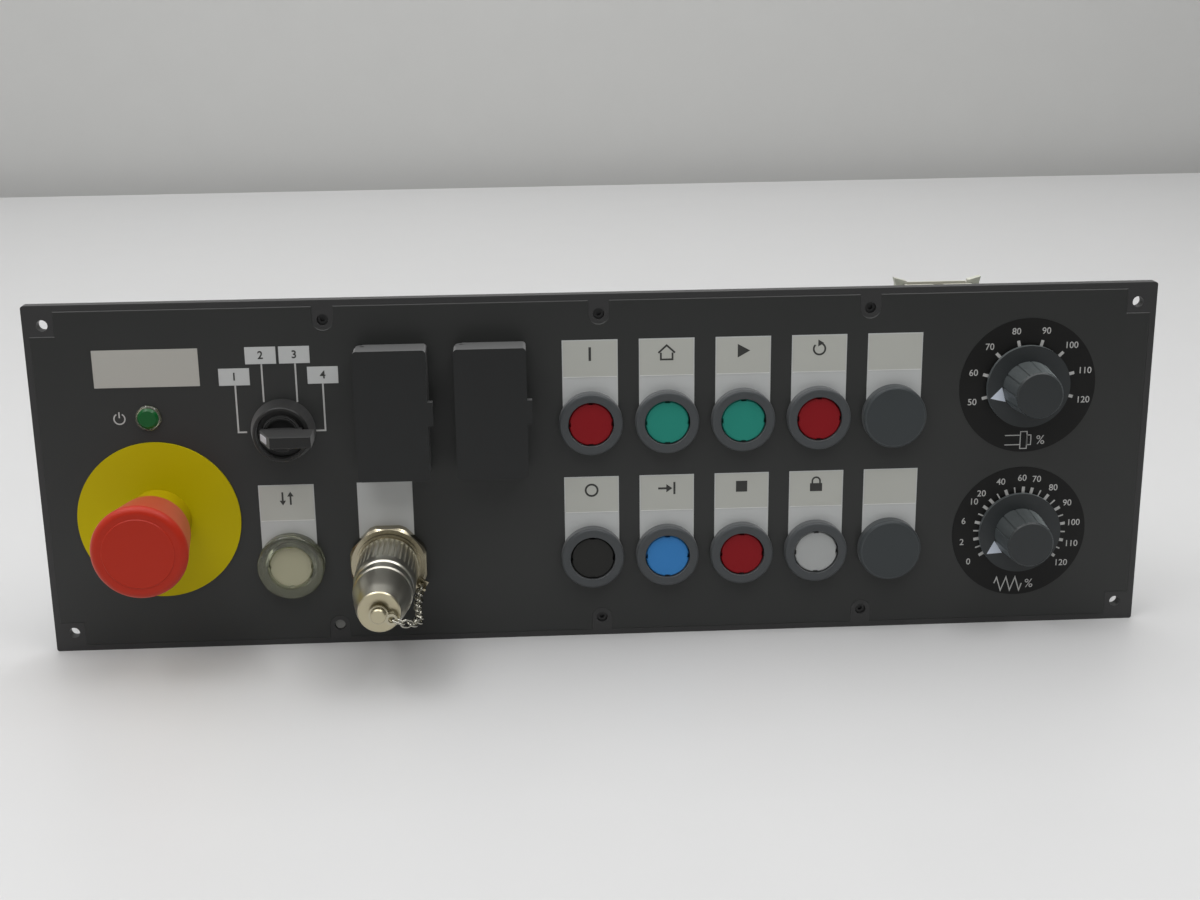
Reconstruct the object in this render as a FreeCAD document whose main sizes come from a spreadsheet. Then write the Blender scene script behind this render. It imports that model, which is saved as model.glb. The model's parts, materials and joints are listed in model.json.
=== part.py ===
import FreeCAD, Part
import math
import os
import Sketcher

# Operator panel for a machine tool: a front plate with buttons, ports, a capped connector and two dials.
# Frame: X right, Z up, the front faces -Y, the origin is the middle of the plate's rear face.
# "Out" in the names below is the distance in front of that rear face, so it is -Y.

doc = FreeCAD.newDocument("OperatorPanel")
sheet = doc.addObject("Spreadsheet::Sheet", "Sizes")
aliases = []
nodes = []


# A number together with the sheet expression that gives it.
class Size:
    def __init__(self, number, text):
        self.number = float(number)
        self.text = text

    def __add__(self, other):
        other = size(other)
        return Size(self.number + other.number, f"({self.text} + {other.text})")

    def __sub__(self, other):
        other = size(other)
        return Size(self.number - other.number, f"({self.text} - {other.text})")

    def __mul__(self, other):
        other = size(other)
        return Size(self.number * other.number, f"({self.text} * {other.text})")

    def __truediv__(self, other):
        other = size(other)
        return Size(self.number / other.number, f"({self.text} / {other.text})")

    def __neg__(self):
        return Size(-self.number, f"(-1 * {self.text})")

    def __radd__(self, other):
        return size(other) + self

    def __rsub__(self, other):
        return size(other) - self

    def __rmul__(self, other):
        return size(other) * self


def size(value):
    return value if isinstance(value, Size) else Size(value, repr(value))


def cell(alias, number):
    aliases.append(alias)
    row = len(aliases)
    sheet.set(f"A{row}", alias)
    sheet.set(f"B{row}", str(number))
    sheet.setAlias(f"B{row}", alias)
    return Size(number, f"Sizes.{alias}")


def bind(thing, name, value):
    thing.setExpression(name, size(value).text)


# Plate, film and printed fields
panel_width = cell("panel_width", 483)
panel_height = cell("panel_height", 155)
plate_thick = cell("plate_thick", 5)
plate_corner = cell("plate_corner", 1.2)
rack_margin_x = cell("rack_margin_x", 8.2)
rack_margin_z = cell("rack_margin_z", 8.5)
rack_hole = cell("rack_hole", 4.8)
film_thick = cell("film_thick", 0.25)
film_inset = cell("film_inset", 2.9)
corner_notch = cell("corner_notch", 5)
edge_notch = cell("edge_notch", 9.3)
label_thick = cell("label_thick", 0.15)
tape_thick = cell("tape_thick", 0.1)
hole_gap = cell("hole_gap", 0.15)
fit_gap = cell("fit_gap", 0.05)
rack_pitch_x = panel_width - 2 * rack_margin_x
rack_pitch_z = panel_height - 2 * rack_margin_z
film_face = plate_thick + film_thick
label_face = film_face + label_thick

# Edge screws and the rails that they hold
screw_shank = cell("screw_shank", 1.25)
screw_head = cell("screw_head", 2.25)
screw_head_tall = cell("screw_head_tall", 2.2)
screw_sink = cell("screw_sink", 1.3)
screw_socket = cell("screw_socket", 1.2)
socket_deep = cell("socket_deep", 1.3)
screw_reach = cell("screw_reach", 3)
rail_margin = cell("rail_margin", 21.5)
rail_sheet = cell("rail_sheet", 1.5)
rail_screw_inset = cell("rail_screw_inset", 8)
rail_leg = cell("rail_leg", 13)
rail_rear_leg = cell("rail_rear_leg", 10)
screw_pitch = rack_pitch_x / 4
screw_z = rack_pitch_z / 2
rail_length = panel_width - 2 * rail_margin
rail_web_z = screw_z - rail_screw_inset

# Barrels of the 22 mm devices, their nuts and switch elements
barrel_radius = cell("barrel_radius", 11)
barrel_rear = cell("barrel_rear", 9)
ring_nut_radius = cell("ring_nut_radius", 14)
ring_nut_tall = cell("ring_nut_tall", 5)
ring_nut_notch = cell("ring_nut_notch", 3)
ring_nut_notches = cell("ring_nut_notches", 6)
element_width = cell("element_width", 18)
element_edge = cell("element_edge", 1)
board_gap = cell("board_gap", 26)

# Button grid and the pieces of one button
grid_x = cell("grid_x", -4)
grid_pitch = cell("grid_pitch", 33)
field_margin = cell("field_margin", 19.7)
field_clear = cell("field_clear", 24.6)
row_foot = cell("row_foot", 37.9)
field_tall = (panel_height - field_margin - row_foot - field_clear) / 2
bezel_radius = cell("bezel_radius", 13.8)
bezel_tall = cell("bezel_tall", 4.8)
bezel_round = cell("bezel_round", 1.3)
clear_radius = cell("clear_radius", 14.5)
clear_tall = cell("clear_tall", 5.6)
lens_radius = cell("lens_radius", 9.5)
lens_gap = cell("lens_gap", 0.4)
lens_sunk = cell("lens_sunk", 1)
lens_thick = cell("lens_thick", 4.5)
lens_edge = cell("lens_edge", 0.5)
lens_notch_wide = cell("lens_notch_wide", 2.2)
lens_notch_deep = cell("lens_notch_deep", 0.8)
lens_notches = cell("lens_notches", 4)
button_travel = cell("button_travel", 2)
stop_gap = cell("stop_gap", 0.5)
plunger_radius = cell("plunger_radius", 6)
plunger_gap = cell("plunger_gap", 0.3)
plug_tall = cell("plug_tall", 5.4)
plug_wall = cell("plug_wall", 1.6)
top_row_z = panel_height / 2 - field_margin - field_tall
bottom_row_z = row_foot - panel_height / 2
left_column_x = grid_x - 4 * grid_pitch

# Legend fields, tapes, tags and the name plate
field_width = cell("field_width", 23.9)
field_shift = cell("field_shift", 0.5)
tape_margin = cell("tape_margin", 0.4)
tape_tall = cell("tape_tall", 15.8)
name_plate_x = cell("name_plate_x", -191.9)
name_plate_z = cell("name_plate_z", 49.8)
name_plate_width = cell("name_plate_width", 44.3)
name_plate_tall = cell("name_plate_tall", 16.3)
tag_width = cell("tag_width", 13)
tag_tall = cell("tag_tall", 7.4)
tag_outer_x = cell("tag_outer_x", 18.7)
tag_inner_x = cell("tag_inner_x", 7.1)
tag_low_z = cell("tag_low_z", 23.8)
tag_high_z = cell("tag_high_z", 32.9)

# Emergency stop
estop_x = cell("estop_x", -191.6)
estop_z = cell("estop_z", -17.6)
disc_radius = cell("disc_radius", 35)
disc_thick = cell("disc_thick", 0.8)
collar_radius = cell("collar_radius", 13.9)
collar_top = cell("collar_top", 13.5)
collar_tall = cell("collar_tall", 9.5)
stem_radius = cell("stem_radius", 8)
estop_travel = cell("estop_travel", 4)
head_gap = cell("head_gap", 2.7)
head_rear = cell("head_rear", 16.3)
head_front = cell("head_front", 20.45)
head_deep = cell("head_deep", 27.5)
head_round = cell("head_round", 3)
head_face = cell("head_face", 15)
head_step = cell("head_step", 0.3)
block_width = cell("block_width", 30)
block_tall = cell("block_tall", 38)
block_deep = cell("block_deep", 34)
terminal_tall = cell("terminal_tall", 7)
terminal_deep = cell("terminal_deep", 8)

# Selector
selector_tall = cell("selector_tall", 8.5)
selector_top = cell("selector_top", 11.9)
selector_mouth = cell("selector_mouth", 10.5)
selector_floor = cell("selector_floor", 1.5)
selector_round = cell("selector_round", 1.1)
selector_disc = cell("selector_disc", 4)
selector_rim = cell("selector_rim", 7.6)
selector_rim_wall = cell("selector_rim_wall", 1.3)
selector_rim_tall = cell("selector_rim_tall", 1.5)
lever_gap = cell("lever_gap", 0.8)
lever_left = cell("lever_left", 8.6)
lever_right = cell("lever_right", 14.1)
lever_root = cell("lever_root", 9)
lever_tip = cell("lever_tip", 3)
lever_out = cell("lever_out", 21.5)
lever_thick = cell("lever_thick", 5)
lever_round = cell("lever_round", 0.5)
marker_wide = cell("marker_wide", 2.8)
marker_thick = cell("marker_thick", 0.4)
marker_low = cell("marker_low", 0.12)
marker_high = cell("marker_high", 0.68)

# Pilot lamp
lamp_x = cell("lamp_x", -192.5)
lamp_z = cell("lamp_z", 28.2)
lamp_ring = cell("lamp_ring", 5.5)
lamp_lens = cell("lamp_lens", 4.5)
lamp_wall = cell("lamp_wall", 0.4)
lamp_ring_tall = cell("lamp_ring_tall", 1.4)
lamp_ring_edge = cell("lamp_ring_edge", 0.5)
lamp_dome = cell("lamp_dome", 1)
lamp_rear = cell("lamp_rear", 10)

# Port covers, frames and sockets
port_left_x = cell("port_left_x", -88.5)
port_right_x = cell("port_right_x", -46.5)
port_head = cell("port_head", 48)
port_z = panel_height / 2 - port_head
lid_width = cell("lid_width", 30.5)
lid_tall = cell("lid_tall", 56.8)
lid_deep = cell("lid_deep", 13.7)
lid_gap = cell("lid_gap", 0.3)
lid_wall = cell("lid_wall", 1.7)
lid_corner = cell("lid_corner", 1.6)
tab_wide = cell("tab_wide", 2.1)
tab_tall = cell("tab_tall", 10.4)
tab_deep = cell("tab_deep", 3.5)
tab_lift = cell("tab_lift", 0.7)
hinge_inset = cell("hinge_inset", 3.4)
hinge_rise = cell("hinge_rise", 3.8)
ear_radius = cell("ear_radius", 2.6)
lug_radius = cell("lug_radius", 1.5)
lug_thick = cell("lug_thick", 3)
pin_radius = cell("pin_radius", 0.9)
frame_gap = cell("frame_gap", 0.5)
flange_thick = cell("flange_thick", 2)
sleeve_width = cell("sleeve_width", 20.6)
sleeve_tall = cell("sleeve_tall", 45.6)
sleeve_rear = cell("sleeve_rear", 14)
network_z = cell("network_z", 9.5)
network_width = cell("network_width", 15.6)
network_tall = cell("network_tall", 13.2)
network_mouth_wide = cell("network_mouth_wide", 11.8)
network_mouth_tall = cell("network_mouth_tall", 6.8)
network_key_wide = cell("network_key_wide", 6)
network_key_tall = cell("network_key_tall", 2)
serial_bus_z = cell("serial_bus_z", -12)
serial_bus_width = cell("serial_bus_width", 13.2)
serial_bus_tall = cell("serial_bus_tall", 6.4)
serial_bus_wall = cell("serial_bus_wall", 0.5)
tongue_tall = cell("tongue_tall", 1.8)
tongue_gap = cell("tongue_gap", 0.6)
socket_deep_in = cell("socket_deep_in", 10)
dsub_width = cell("dsub_width", 12.5)
dsub_tall = cell("dsub_tall", 30.8)
dsub_plate = cell("dsub_plate", 0.8)
dsub_shell_wide = cell("dsub_shell_wide", 8.4)
dsub_shell_tall = cell("dsub_shell_tall", 17)
dsub_shell_out = cell("dsub_shell_out", 5.6)
dsub_wall = cell("dsub_wall", 0.6)
dsub_slope = cell("dsub_slope", 1.4)

# Round connector, its cap and chain
plug_x = cell("plug_x", -93.5)
plug_foot = cell("plug_foot", 38)
plug_z = plug_foot - panel_height / 2
thread_radius = cell("thread_radius", 12.4)
seat_radius = cell("seat_radius", 15.5)
seat_thick = cell("seat_thick", 3)
shell_rear = cell("shell_rear", 20)
shell_rear_radius = cell("shell_rear_radius", 11.4)
shell_front = cell("shell_front", 27)
shell_radius = cell("shell_radius", 10.4)
insert_radius = cell("insert_radius", 9)
insert_front = cell("insert_front", 18)
hex_radius = cell("hex_radius", 17.3)
hex_flat = cell("hex_flat", 16.5)
hex_flats = cell("hex_flats", 8)
hex_tall = cell("hex_tall", 5.5)
hex_edge = cell("hex_edge", 1.1)
chain_ring_radius = cell("chain_ring_radius", 14.3)
chain_ring_thick = cell("chain_ring_thick", 1)
chain_turn = cell("chain_turn", 33)
chain_tab_wide = cell("chain_tab_wide", 5)
chain_lug_gap = cell("chain_lug_gap", 0.7)
chain_lug_wide = cell("chain_lug_wide", 5)
chain_lug_tall = cell("chain_lug_tall", 5.4)
chain_lug_thick = cell("chain_lug_thick", 1)
eye_hole = cell("eye_hole", 1.4)
cap_gap = cell("cap_gap", 0.4)
cap_radius = cell("cap_radius", 13.2)
cap_grip_long = cell("cap_grip_long", 27.2)
cap_rim = cell("cap_rim", 5.2)
cap_groove = cell("cap_groove", 12)
cap_groove_wide = cell("cap_groove_wide", 2.8)
cap_band_wide = cell("cap_band_wide", 5)
cap_body = cell("cap_body", 12.1)
cap_shoulder = cell("cap_shoulder", 11.5)
cap_shoulder_back = cell("cap_shoulder_back", 13.2)
cap_bend = cell("cap_bend", 10.3)
cap_bend_back = cell("cap_bend_back", 6.2)
cap_end = cell("cap_end", 8.8)
cap_end_out = cell("cap_end_out", 66.6)
cap_edge = cell("cap_edge", 0.5)
cap_depth = cell("cap_depth", 2)
cap_flutes = cell("cap_flutes", 36)
cap_flute = cell("cap_flute", 0.7)
post_neck = cell("post_neck", 2.2)
post_neck_long = cell("post_neck_long", 3.6)
post_head = cell("post_head", 3.2)
post_head_tall = cell("post_head_tall", 1.7)
swivel_wall = cell("swivel_wall", 1.5)
swivel_thick = cell("swivel_thick", 1.2)
swivel_turn = cell("swivel_turn", 22)
swivel_lap = cell("swivel_lap", 0.9)
eye_wall = cell("eye_wall", 1.1)
link_inner = cell("link_inner", 4.6)
link_slack = cell("link_slack", 0.4)
link_mouth = cell("link_mouth", 2.6)
link_wire = cell("link_wire", 0.45)
link_sides = cell("link_sides", 8)
link_bends = cell("link_bends", 4)
chain_bulge = cell("chain_bulge", 2.7)
chain_sag = cell("chain_sag", 1.5)

# Override dials
dial_x = cell("dial_x", 186.8)
dial_top_z = cell("dial_top_z", 33)
dial_bottom_z = cell("dial_bottom_z", -34)
dial_radius = cell("dial_radius", 30)
skirt_radius = cell("skirt_radius", 18.25)
skirt_thick = cell("skirt_thick", 2)
skirt_gap = cell("skirt_gap", 0.6)
grip_base = cell("grip_base", 11.9)
grip_front = cell("grip_front", 10.7)
grip_out = cell("grip_out", 19)
grip_edge = cell("grip_edge", 0.8)
grip_cavity = cell("grip_cavity", 9)
flute_count = cell("flute_count", 24)
flute_wide = cell("flute_wide", 0.7)
flute_depth = cell("flute_depth", 0.35)
shaft_radius = cell("shaft_radius", 3)
shaft_rear = cell("shaft_rear", 8)
shaft_grip = cell("shaft_grip", 8)
bushing_radius = cell("bushing_radius", 5)
bushing_tall = cell("bushing_tall", 5)
rotary_radius = cell("rotary_radius", 13)
rotary_deep = cell("rotary_deep", 15)
rotary_boss = cell("rotary_boss", 9)
rotary_nut_radius = cell("rotary_nut_radius", 8)
rotary_nut_tall = cell("rotary_nut_tall", 2.4)

# Circuit board and its ribbon cable header
board_left = cell("board_left", -22)
board_right = cell("board_right", 222)
board_lap = cell("board_lap", 9)
board_thick = cell("board_thick", 1.6)
board_screw_inset = cell("board_screw_inset", 10)
board_screw_lap = cell("board_screw_lap", 5.5)
board_screw_head_tall = cell("board_screw_head_tall", 2.2)
board_screw_long = cell("board_screw_long", 4)
board_screw_edge = cell("board_screw_edge", 0.6)
header_x = cell("header_x", 154.3)
header_half = cell("header_half", 15.2)
header_lap = cell("header_lap", 9)
header_tall = cell("header_tall", 11.3)
header_deep = cell("header_deep", 8.8)
header_wall = cell("header_wall", 1.4)
header_floor = cell("header_floor", 2.6)
key_wide = cell("key_wide", 4.5)
pin_pitch = cell("pin_pitch", 2.54)
pin_side = cell("pin_side", 0.64)
pin_columns = cell("pin_columns", 10)
pin_top_gap = cell("pin_top_gap", 2)
latch_gap = cell("latch_gap", 0.3)
latch_arm = cell("latch_arm", 3.4)
latch_thick = cell("latch_thick", 4)
latch_tip = cell("latch_tip", 4.1)
latch_rise = cell("latch_rise", 2.9)
latch_hook = cell("latch_hook", 1.2)
latch_slope = cell("latch_slope", 1.6)
latch_pivot_up = cell("latch_pivot_up", 2.5)
latch_foot = cell("latch_foot", 1.1)
latch_ear = cell("latch_ear", 1.4)
latch_pin = cell("latch_pin", 0.8)
board_tall = 2 * (rail_web_z + board_lap)
board_screw_z = rail_web_z + board_screw_lap
header_low = board_tall / 2 - header_lap
header_top = header_low + header_tall
latch_top = header_top + latch_rise


# Small makers used by every piece
def origin_part(body, role):
    return [part for part in body.Origin.OriginFeatures if part.Role == role][0]


def new_body(label, x=0, z=0, turn=0):
    body = doc.addObject("PartDesign::Body", label)
    body.Label = label
    body.Placement.Rotation = FreeCAD.Rotation(FreeCAD.Vector(0, 1, 0), size(turn).number)
    if isinstance(turn, Size):
        bind(body, "Placement.Rotation.Angle", turn)
    place(body, x, z)
    return body


def place(thing, x, z):
    bind(thing, "Placement.Base.x", x)
    bind(thing, "Placement.Base.z", z)


def keep(thing):
    nodes.append(thing)
    return thing


def new_sketch(body, role, lift=0):
    made = body.newObject("Sketcher::SketchObject", f"{body.Label}Sketch")
    made.AttachmentSupport = [(origin_part(body, role), "")]
    made.MapMode = "FlatFace"
    bind(made, "AttachmentOffset.Base.z", lift)
    return made


def front_sketch(body, out):
    return new_sketch(body, "XZ_Plane", out)


def fix_point(made, geometry, end, x, y):
    for kind, value in (("DistanceX", size(x)), ("DistanceY", size(y))):
        index = made.addConstraint(Sketcher.Constraint(kind, -1, 1, geometry, end, value.number))
        made.setExpression(f"Constraints[{index}]", value.text)


def outline(made, points):
    first = len(made.Geometry)
    spots = [FreeCAD.Vector(size(x).number, size(y).number, 0) for x, y in points]
    for number, spot in enumerate(spots):
        made.addGeometry(Part.LineSegment(spot, spots[(number + 1) % len(spots)]), False)
    for number, (x, y) in enumerate(points):
        after = first + (number + 1) % len(points)
        made.addConstraint(Sketcher.Constraint("Coincident", first + number, 2, after, 1))
        fix_point(made, first + number, 1, x, y)


def rectangle(made, left, right, low, high):
    outline(made, [(left, low), (right, low), (right, high), (left, high)])


def box_about(made, x, y, width, tall):
    rectangle(made, x - width / 2, x + width / 2, y - tall / 2, y + tall / 2)


def circle(made, x, y, radius):
    spot = FreeCAD.Vector(size(x).number, size(y).number, 0)
    index = made.addGeometry(Part.Circle(spot, FreeCAD.Vector(0, 0, 1), size(radius).number), False)
    ring = made.addConstraint(Sketcher.Constraint("Radius", index, size(radius).number))
    made.setExpression(f"Constraints[{ring}]", size(radius).text)
    fix_point(made, index, 3, x, y)


def pad(body, made, length, middle=False, reverse=False):
    made.Visibility = False
    feature = body.newObject("PartDesign::Pad", f"{body.Label}Pad")
    feature.Profile = made
    bind(feature, "Length", length)
    feature.Midplane = middle
    feature.Reversed = reverse
    return feature


def pocket(body, made, length=None, reverse=False, middle=False):
    feature = body.newObject("PartDesign::Pocket", f"{body.Label}Pocket")
    feature.Profile = made
    feature.Midplane = middle
    feature.Reversed = reverse
    if length is None:
        feature.Type = "ThroughAll"
    else:
        bind(feature, "Length", length)
    return feature


def repeat_around(body, feature, count):
    made = body.newObject("PartDesign::PolarPattern", f"{body.Label}Around")
    made.Originals = [feature]
    made.Axis = (origin_part(body, "Y_Axis"), [""])
    made.Angle = 360
    bind(made, "Occurrences", count)
    body.Tip = made


def soften(body, chooser, radius, kind="Fillet"):
    doc.recompute()
    base = body.Tip
    names = [f"Edge{number}" for number, edge in enumerate(base.Shape.Edges, 1) if chooser(edge)]
    made = body.newObject(f"PartDesign::{kind}", f"{body.Label}{kind}")
    made.Base = (base, names)
    bind(made, "Radius" if kind == "Fillet" else "Size", radius)


# Chooses the round edge of a turned piece at one radius and distance out.
def rim(radius, out):
    def chosen(edge):
        box = edge.BoundBox
        level = max(abs(box.YMin + out.number), abs(box.YMax + out.number))
        return level < fit_gap.number and abs(box.XLength - 2 * radius.number) < fit_gap.number
    return chosen


def runs_along(edge, direction):
    if edge.Curve.TypeId != "Part::GeomLine":
        return False
    return abs(edge.Curve.Direction.dot(direction)) > 0.999


# A turned piece: its profile is a list of (radius, distance out) points round the Y axis.
def turned(label, profile, x=0, z=0, turn=0):
    body = new_body(label, x, z, turn)
    made = new_sketch(body, "XY_Plane")
    outline(made, [(radius, -size(out)) for radius, out in profile])
    feature = body.newObject("PartDesign::Revolution", f"{label}Turn")
    feature.Profile = made
    feature.ReferenceAxis = (made, ["V_Axis"])
    feature.Angle = 360
    return body


# A flat piece cut to a rectangle, standing on the given level.
def sheet_piece(label, x, z, width, tall, out, thick):
    body = new_body(label, x, z)
    made = front_sketch(body, out)
    box_about(made, size(0), size(0), width, tall)
    pad(body, made, thick)
    return body


# One node that holds the same piece at several places.
def copies(label, pieces):
    links = []
    for number, (source, x, z) in enumerate(pieces):
        link = doc.addObject("App::Link", f"{label}Copy{number}")
        link.LinkedObject = source
        place(link, x, z)
        links.append(link)
    group = doc.addObject("Part::Compound", label)
    group.Label = label
    group.Links = links
    return keep(group)


columns = [grid_x + number * grid_pitch for number in range(5)]
rows = [top_row_z, bottom_row_z]
button_places = [(x, z) for z in rows for x in columns[:4]]
plug_places = [(columns[4], z) for z in rows]
clear_place = (left_column_x, bottom_row_z)
selector_place = (left_column_x, top_row_z)
estop_place = (estop_x, estop_z)
lamp_place = (lamp_x, lamp_z)
plug_place = (plug_x, plug_z)
dial_places = [(dial_x, dial_top_z), (dial_x, dial_bottom_z)]
port_places = [(port_left_x, port_z), (port_right_x, port_z)]
barrel_places = button_places + plug_places + [clear_place, selector_place, estop_place]
rack_places = [(sx * rack_pitch_x / 2, sz * rack_pitch_z / 2) for sx in (-1, 1) for sz in (-1, 1)]
screw_places = [(number * screw_pitch, sz * screw_z) for number in (-1, 0, 1) for sz in (-1, 1)]


# Openings that the plate and its film share
def device_openings(made):
    for x, z in barrel_places:
        circle(made, x, z, barrel_radius + hole_gap)
    for x, z in dial_places:
        circle(made, x, z, bushing_radius + hole_gap)
    circle(made, *lamp_place, lamp_lens + fit_gap + lamp_wall + hole_gap)
    circle(made, *plug_place, thread_radius + hole_gap)
    for x, z in port_places:
        box_about(made, x, z, sleeve_width + 2 * hole_gap, sleeve_tall + 2 * hole_gap)


def make_front_plate():
    body = keep(new_body("front_plate"))
    made = front_sketch(body, 0)
    box_about(made, size(0), size(0), panel_width, panel_height)
    pad(body, made, plate_thick)
    soften(body, lambda edge: runs_along(edge, FreeCAD.Vector(0, 1, 0)), plate_corner)
    made = front_sketch(body, plate_thick)
    device_openings(made)
    for x, z in rack_places:
        circle(made, x, z, rack_hole / 2)
    for x, z in screw_places:
        circle(made, x, z, screw_shank + hole_gap)
    pocket(body, made)
    made = front_sketch(body, plate_thick)
    for x, z in screw_places:
        circle(made, x, z, screw_head + hole_gap)
    pocket(body, made, screw_head_tall + screw_sink)


def make_front_film():
    body = keep(new_body("front_film"))
    made = front_sketch(body, plate_thick)
    half_wide = panel_width / 2 - film_inset
    half_tall = panel_height / 2 - film_inset
    notch_x = rack_pitch_x / 2 - corner_notch
    notch_z = rack_pitch_z / 2 - corner_notch
    corners = [(half_wide, -notch_z), (half_wide, notch_z), (notch_x, notch_z), (notch_x, half_tall)]
    corners += [(-notch_x, half_tall), (-notch_x, notch_z), (-half_wide, notch_z), (-half_wide, -notch_z)]
    corners += [(-notch_x, -notch_z), (-notch_x, -half_tall), (notch_x, -half_tall), (notch_x, -notch_z)]
    outline(made, corners)
    pad(body, made, film_thick)
    made = front_sketch(body, film_face)
    device_openings(made)
    for x, z in screw_places:
        circle(made, x, z, edge_notch / 2)
    pocket(body, made)
    made = front_sketch(body, film_face)
    for x, z in screw_places:
        side = math.copysign(1, z.number)
        edge = side * panel_height / 2
        outline(made, [(x - edge_notch / 2, z), (x + edge_notch / 2, z),
                       (x + edge_notch / 2, edge), (x - edge_notch / 2, edge)])
    pocket(body, made)


def make_edge_screws():
    top = plate_thick - screw_sink
    under = top - screw_head_tall
    screw = turned("edge_screw", [(0, -screw_reach), (screw_shank, -screw_reach), (screw_shank, under),
                                  (screw_head, under), (screw_head, top), (screw_socket, top),
                                  (screw_socket, top - socket_deep), (0, top - socket_deep)])
    copies("edge_screws", [(screw, x, z) for x, z in screw_places])


# A rail is a bent channel: one leg on the plate, one leg for the circuit board.
def make_rail(label, side):
    body = keep(new_body(label))
    made = new_sketch(body, "YZ_Plane")
    web = side * rail_web_z
    inner = side * (rail_web_z + rail_sheet)
    end = side * (rail_web_z + rail_leg)
    rear_end = side * (rail_web_z + rail_rear_leg)
    rear = board_gap
    points = [(0, web), (rear, web), (rear, rear_end), (rear - rail_sheet, rear_end),
              (rear - rail_sheet, inner), (rail_sheet, inner), (rail_sheet, end), (0, end)]
    outline(made, points)
    pad(body, made, rail_length, middle=True)
    made = front_sketch(body, 0)
    for x, z in screw_places:
        if z.number * side > 0:
            circle(made, x, z, screw_shank + fit_gap)
    pocket(body, made, rail_sheet)
    made = front_sketch(body, rail_sheet - board_gap)
    for x, z in board_screw_places:
        if z.number * side > 0:
            circle(made, x, z, screw_shank + fit_gap)
    pocket(body, made, rail_sheet)


board_middle = (board_left + board_right) / 2
board_screw_columns = [board_left + board_screw_inset, board_middle, board_right - board_screw_inset]
board_screw_places = [(x, side * board_screw_z) for side in (-1, 1) for x in board_screw_columns]
board_rear = board_gap + board_thick


def make_board():
    body = keep(new_body("circuit_board"))
    made = front_sketch(body, -board_rear)
    rectangle(made, board_left, board_right, -board_tall / 2, board_tall / 2)
    pad(body, made, board_thick)
    made = front_sketch(body, -board_gap)
    for x, z in board_screw_places:
        circle(made, x, z, screw_shank + hole_gap)
    pocket(body, made)


def make_board_screws():
    head = -board_rear - board_screw_head_tall
    screw = turned("board_screw", [(0, head), (screw_head - board_screw_edge, head),
                                   (screw_head, head + board_screw_edge), (screw_head, -board_rear),
                                   (screw_shank, -board_rear), (screw_shank, board_screw_long - board_rear),
                                   (0, board_screw_long - board_rear)])
    copies("board_screws", [(screw, x, z) for x, z in board_screw_places])


# White fields behind the legends; the one under the connector has a wider hole.
def legend_field(label, hole):
    body = new_body(label)
    made = front_sketch(body, film_face)
    rectangle(made, -field_width / 2, field_width / 2, size(0), field_tall)
    pad(body, made, label_thick)
    made = front_sketch(body, label_face)
    circle(made, 0, 0, hole)
    pocket(body, made)
    return body


def make_labels():
    field = legend_field("legend_field", barrel_radius + hole_gap)
    left_field = legend_field("left_field", barrel_radius + hole_gap + field_shift)
    wide_field = legend_field("connector_field", thread_radius + hole_gap + field_shift)
    left_place = (left_column_x - field_shift, bottom_row_z)
    places = button_places + plug_places
    pieces = [(field, x, z) for x, z in places]
    copies("legend_fields", pieces + [(left_field, *left_place), (wide_field, plug_x - field_shift, plug_z)])
    tape = sheet_piece("legend_tape", 0, 0, field_width - 2 * tape_margin, tape_tall, label_face, tape_thick)
    rise = field_tall - tape_margin - tape_tall / 2
    copies("legend_tapes", [(tape, x, z + rise) for x, z in places + [left_place]])
    keep(sheet_piece("name_plate", name_plate_x, name_plate_z, name_plate_width, name_plate_tall,
                     film_face, label_thick))
    tag = sheet_piece("selector_tag", 0, 0, tag_width, tag_tall, film_face, label_thick)
    spots = [(-tag_outer_x, tag_low_z), (-tag_inner_x, tag_high_z), (tag_inner_x, tag_high_z),
             (tag_outer_x, tag_low_z)]
    tags_x = left_column_x - field_shift
    copies("selector_tags", [(tag, tags_x + x, top_row_z + z) for x, z in spots])
    scale = turned("dial_scale", [(bushing_radius + hole_gap, film_face), (dial_radius, film_face),
                                  (dial_radius, label_face), (bushing_radius + hole_gap, label_face)])
    copies("dial_scales", [(scale, x, z) for x, z in dial_places])


def make_ring_nuts():
    inner = barrel_radius + fit_gap
    nut = turned("ring_nut", [(inner, -ring_nut_tall), (ring_nut_radius, -ring_nut_tall),
                              (ring_nut_radius, 0), (inner, 0)])
    made = front_sketch(nut, 0)
    box_about(made, size(0), ring_nut_radius, ring_nut_notch, ring_nut_notch)
    repeat_around(nut, pocket(nut, made), ring_nut_notches)
    copies("ring_nuts", [(nut, x, z) for x, z in barrel_places])


def make_switch_elements():
    element = sheet_piece("switch_element", 0, 0, element_width, element_width, -board_gap,
                          board_gap - barrel_rear)
    soften(element, lambda edge: runs_along(edge, FreeCAD.Vector(0, 1, 0)), element_edge, "Chamfer")
    places = button_places + [clear_place, selector_place]
    copies("switch_elements", [(element, x, z) for x, z in places])


bezel_front = label_face + bezel_tall
lens_front = bezel_front - lens_sunk
lens_rear = lens_front - lens_thick
lens_bore = lens_radius + lens_gap
plunger_bore = plunger_radius + plunger_gap


# A ring round a lens: flat in front with a rounded edge, on a barrel with the plunger's bore.
def make_bezel(label, radius, tall, x=0, z=0):
    floor = lens_rear - button_travel - stop_gap
    front = label_face + tall
    bezel = turned(label, [(plunger_bore, -barrel_rear), (barrel_radius, -barrel_rear),
                           (barrel_radius, label_face), (radius, label_face), (radius, front),
                           (lens_bore, front), (lens_bore, floor), (plunger_bore, floor)], x, z)
    soften(bezel, rim(radius, front), bezel_round)
    return bezel


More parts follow.
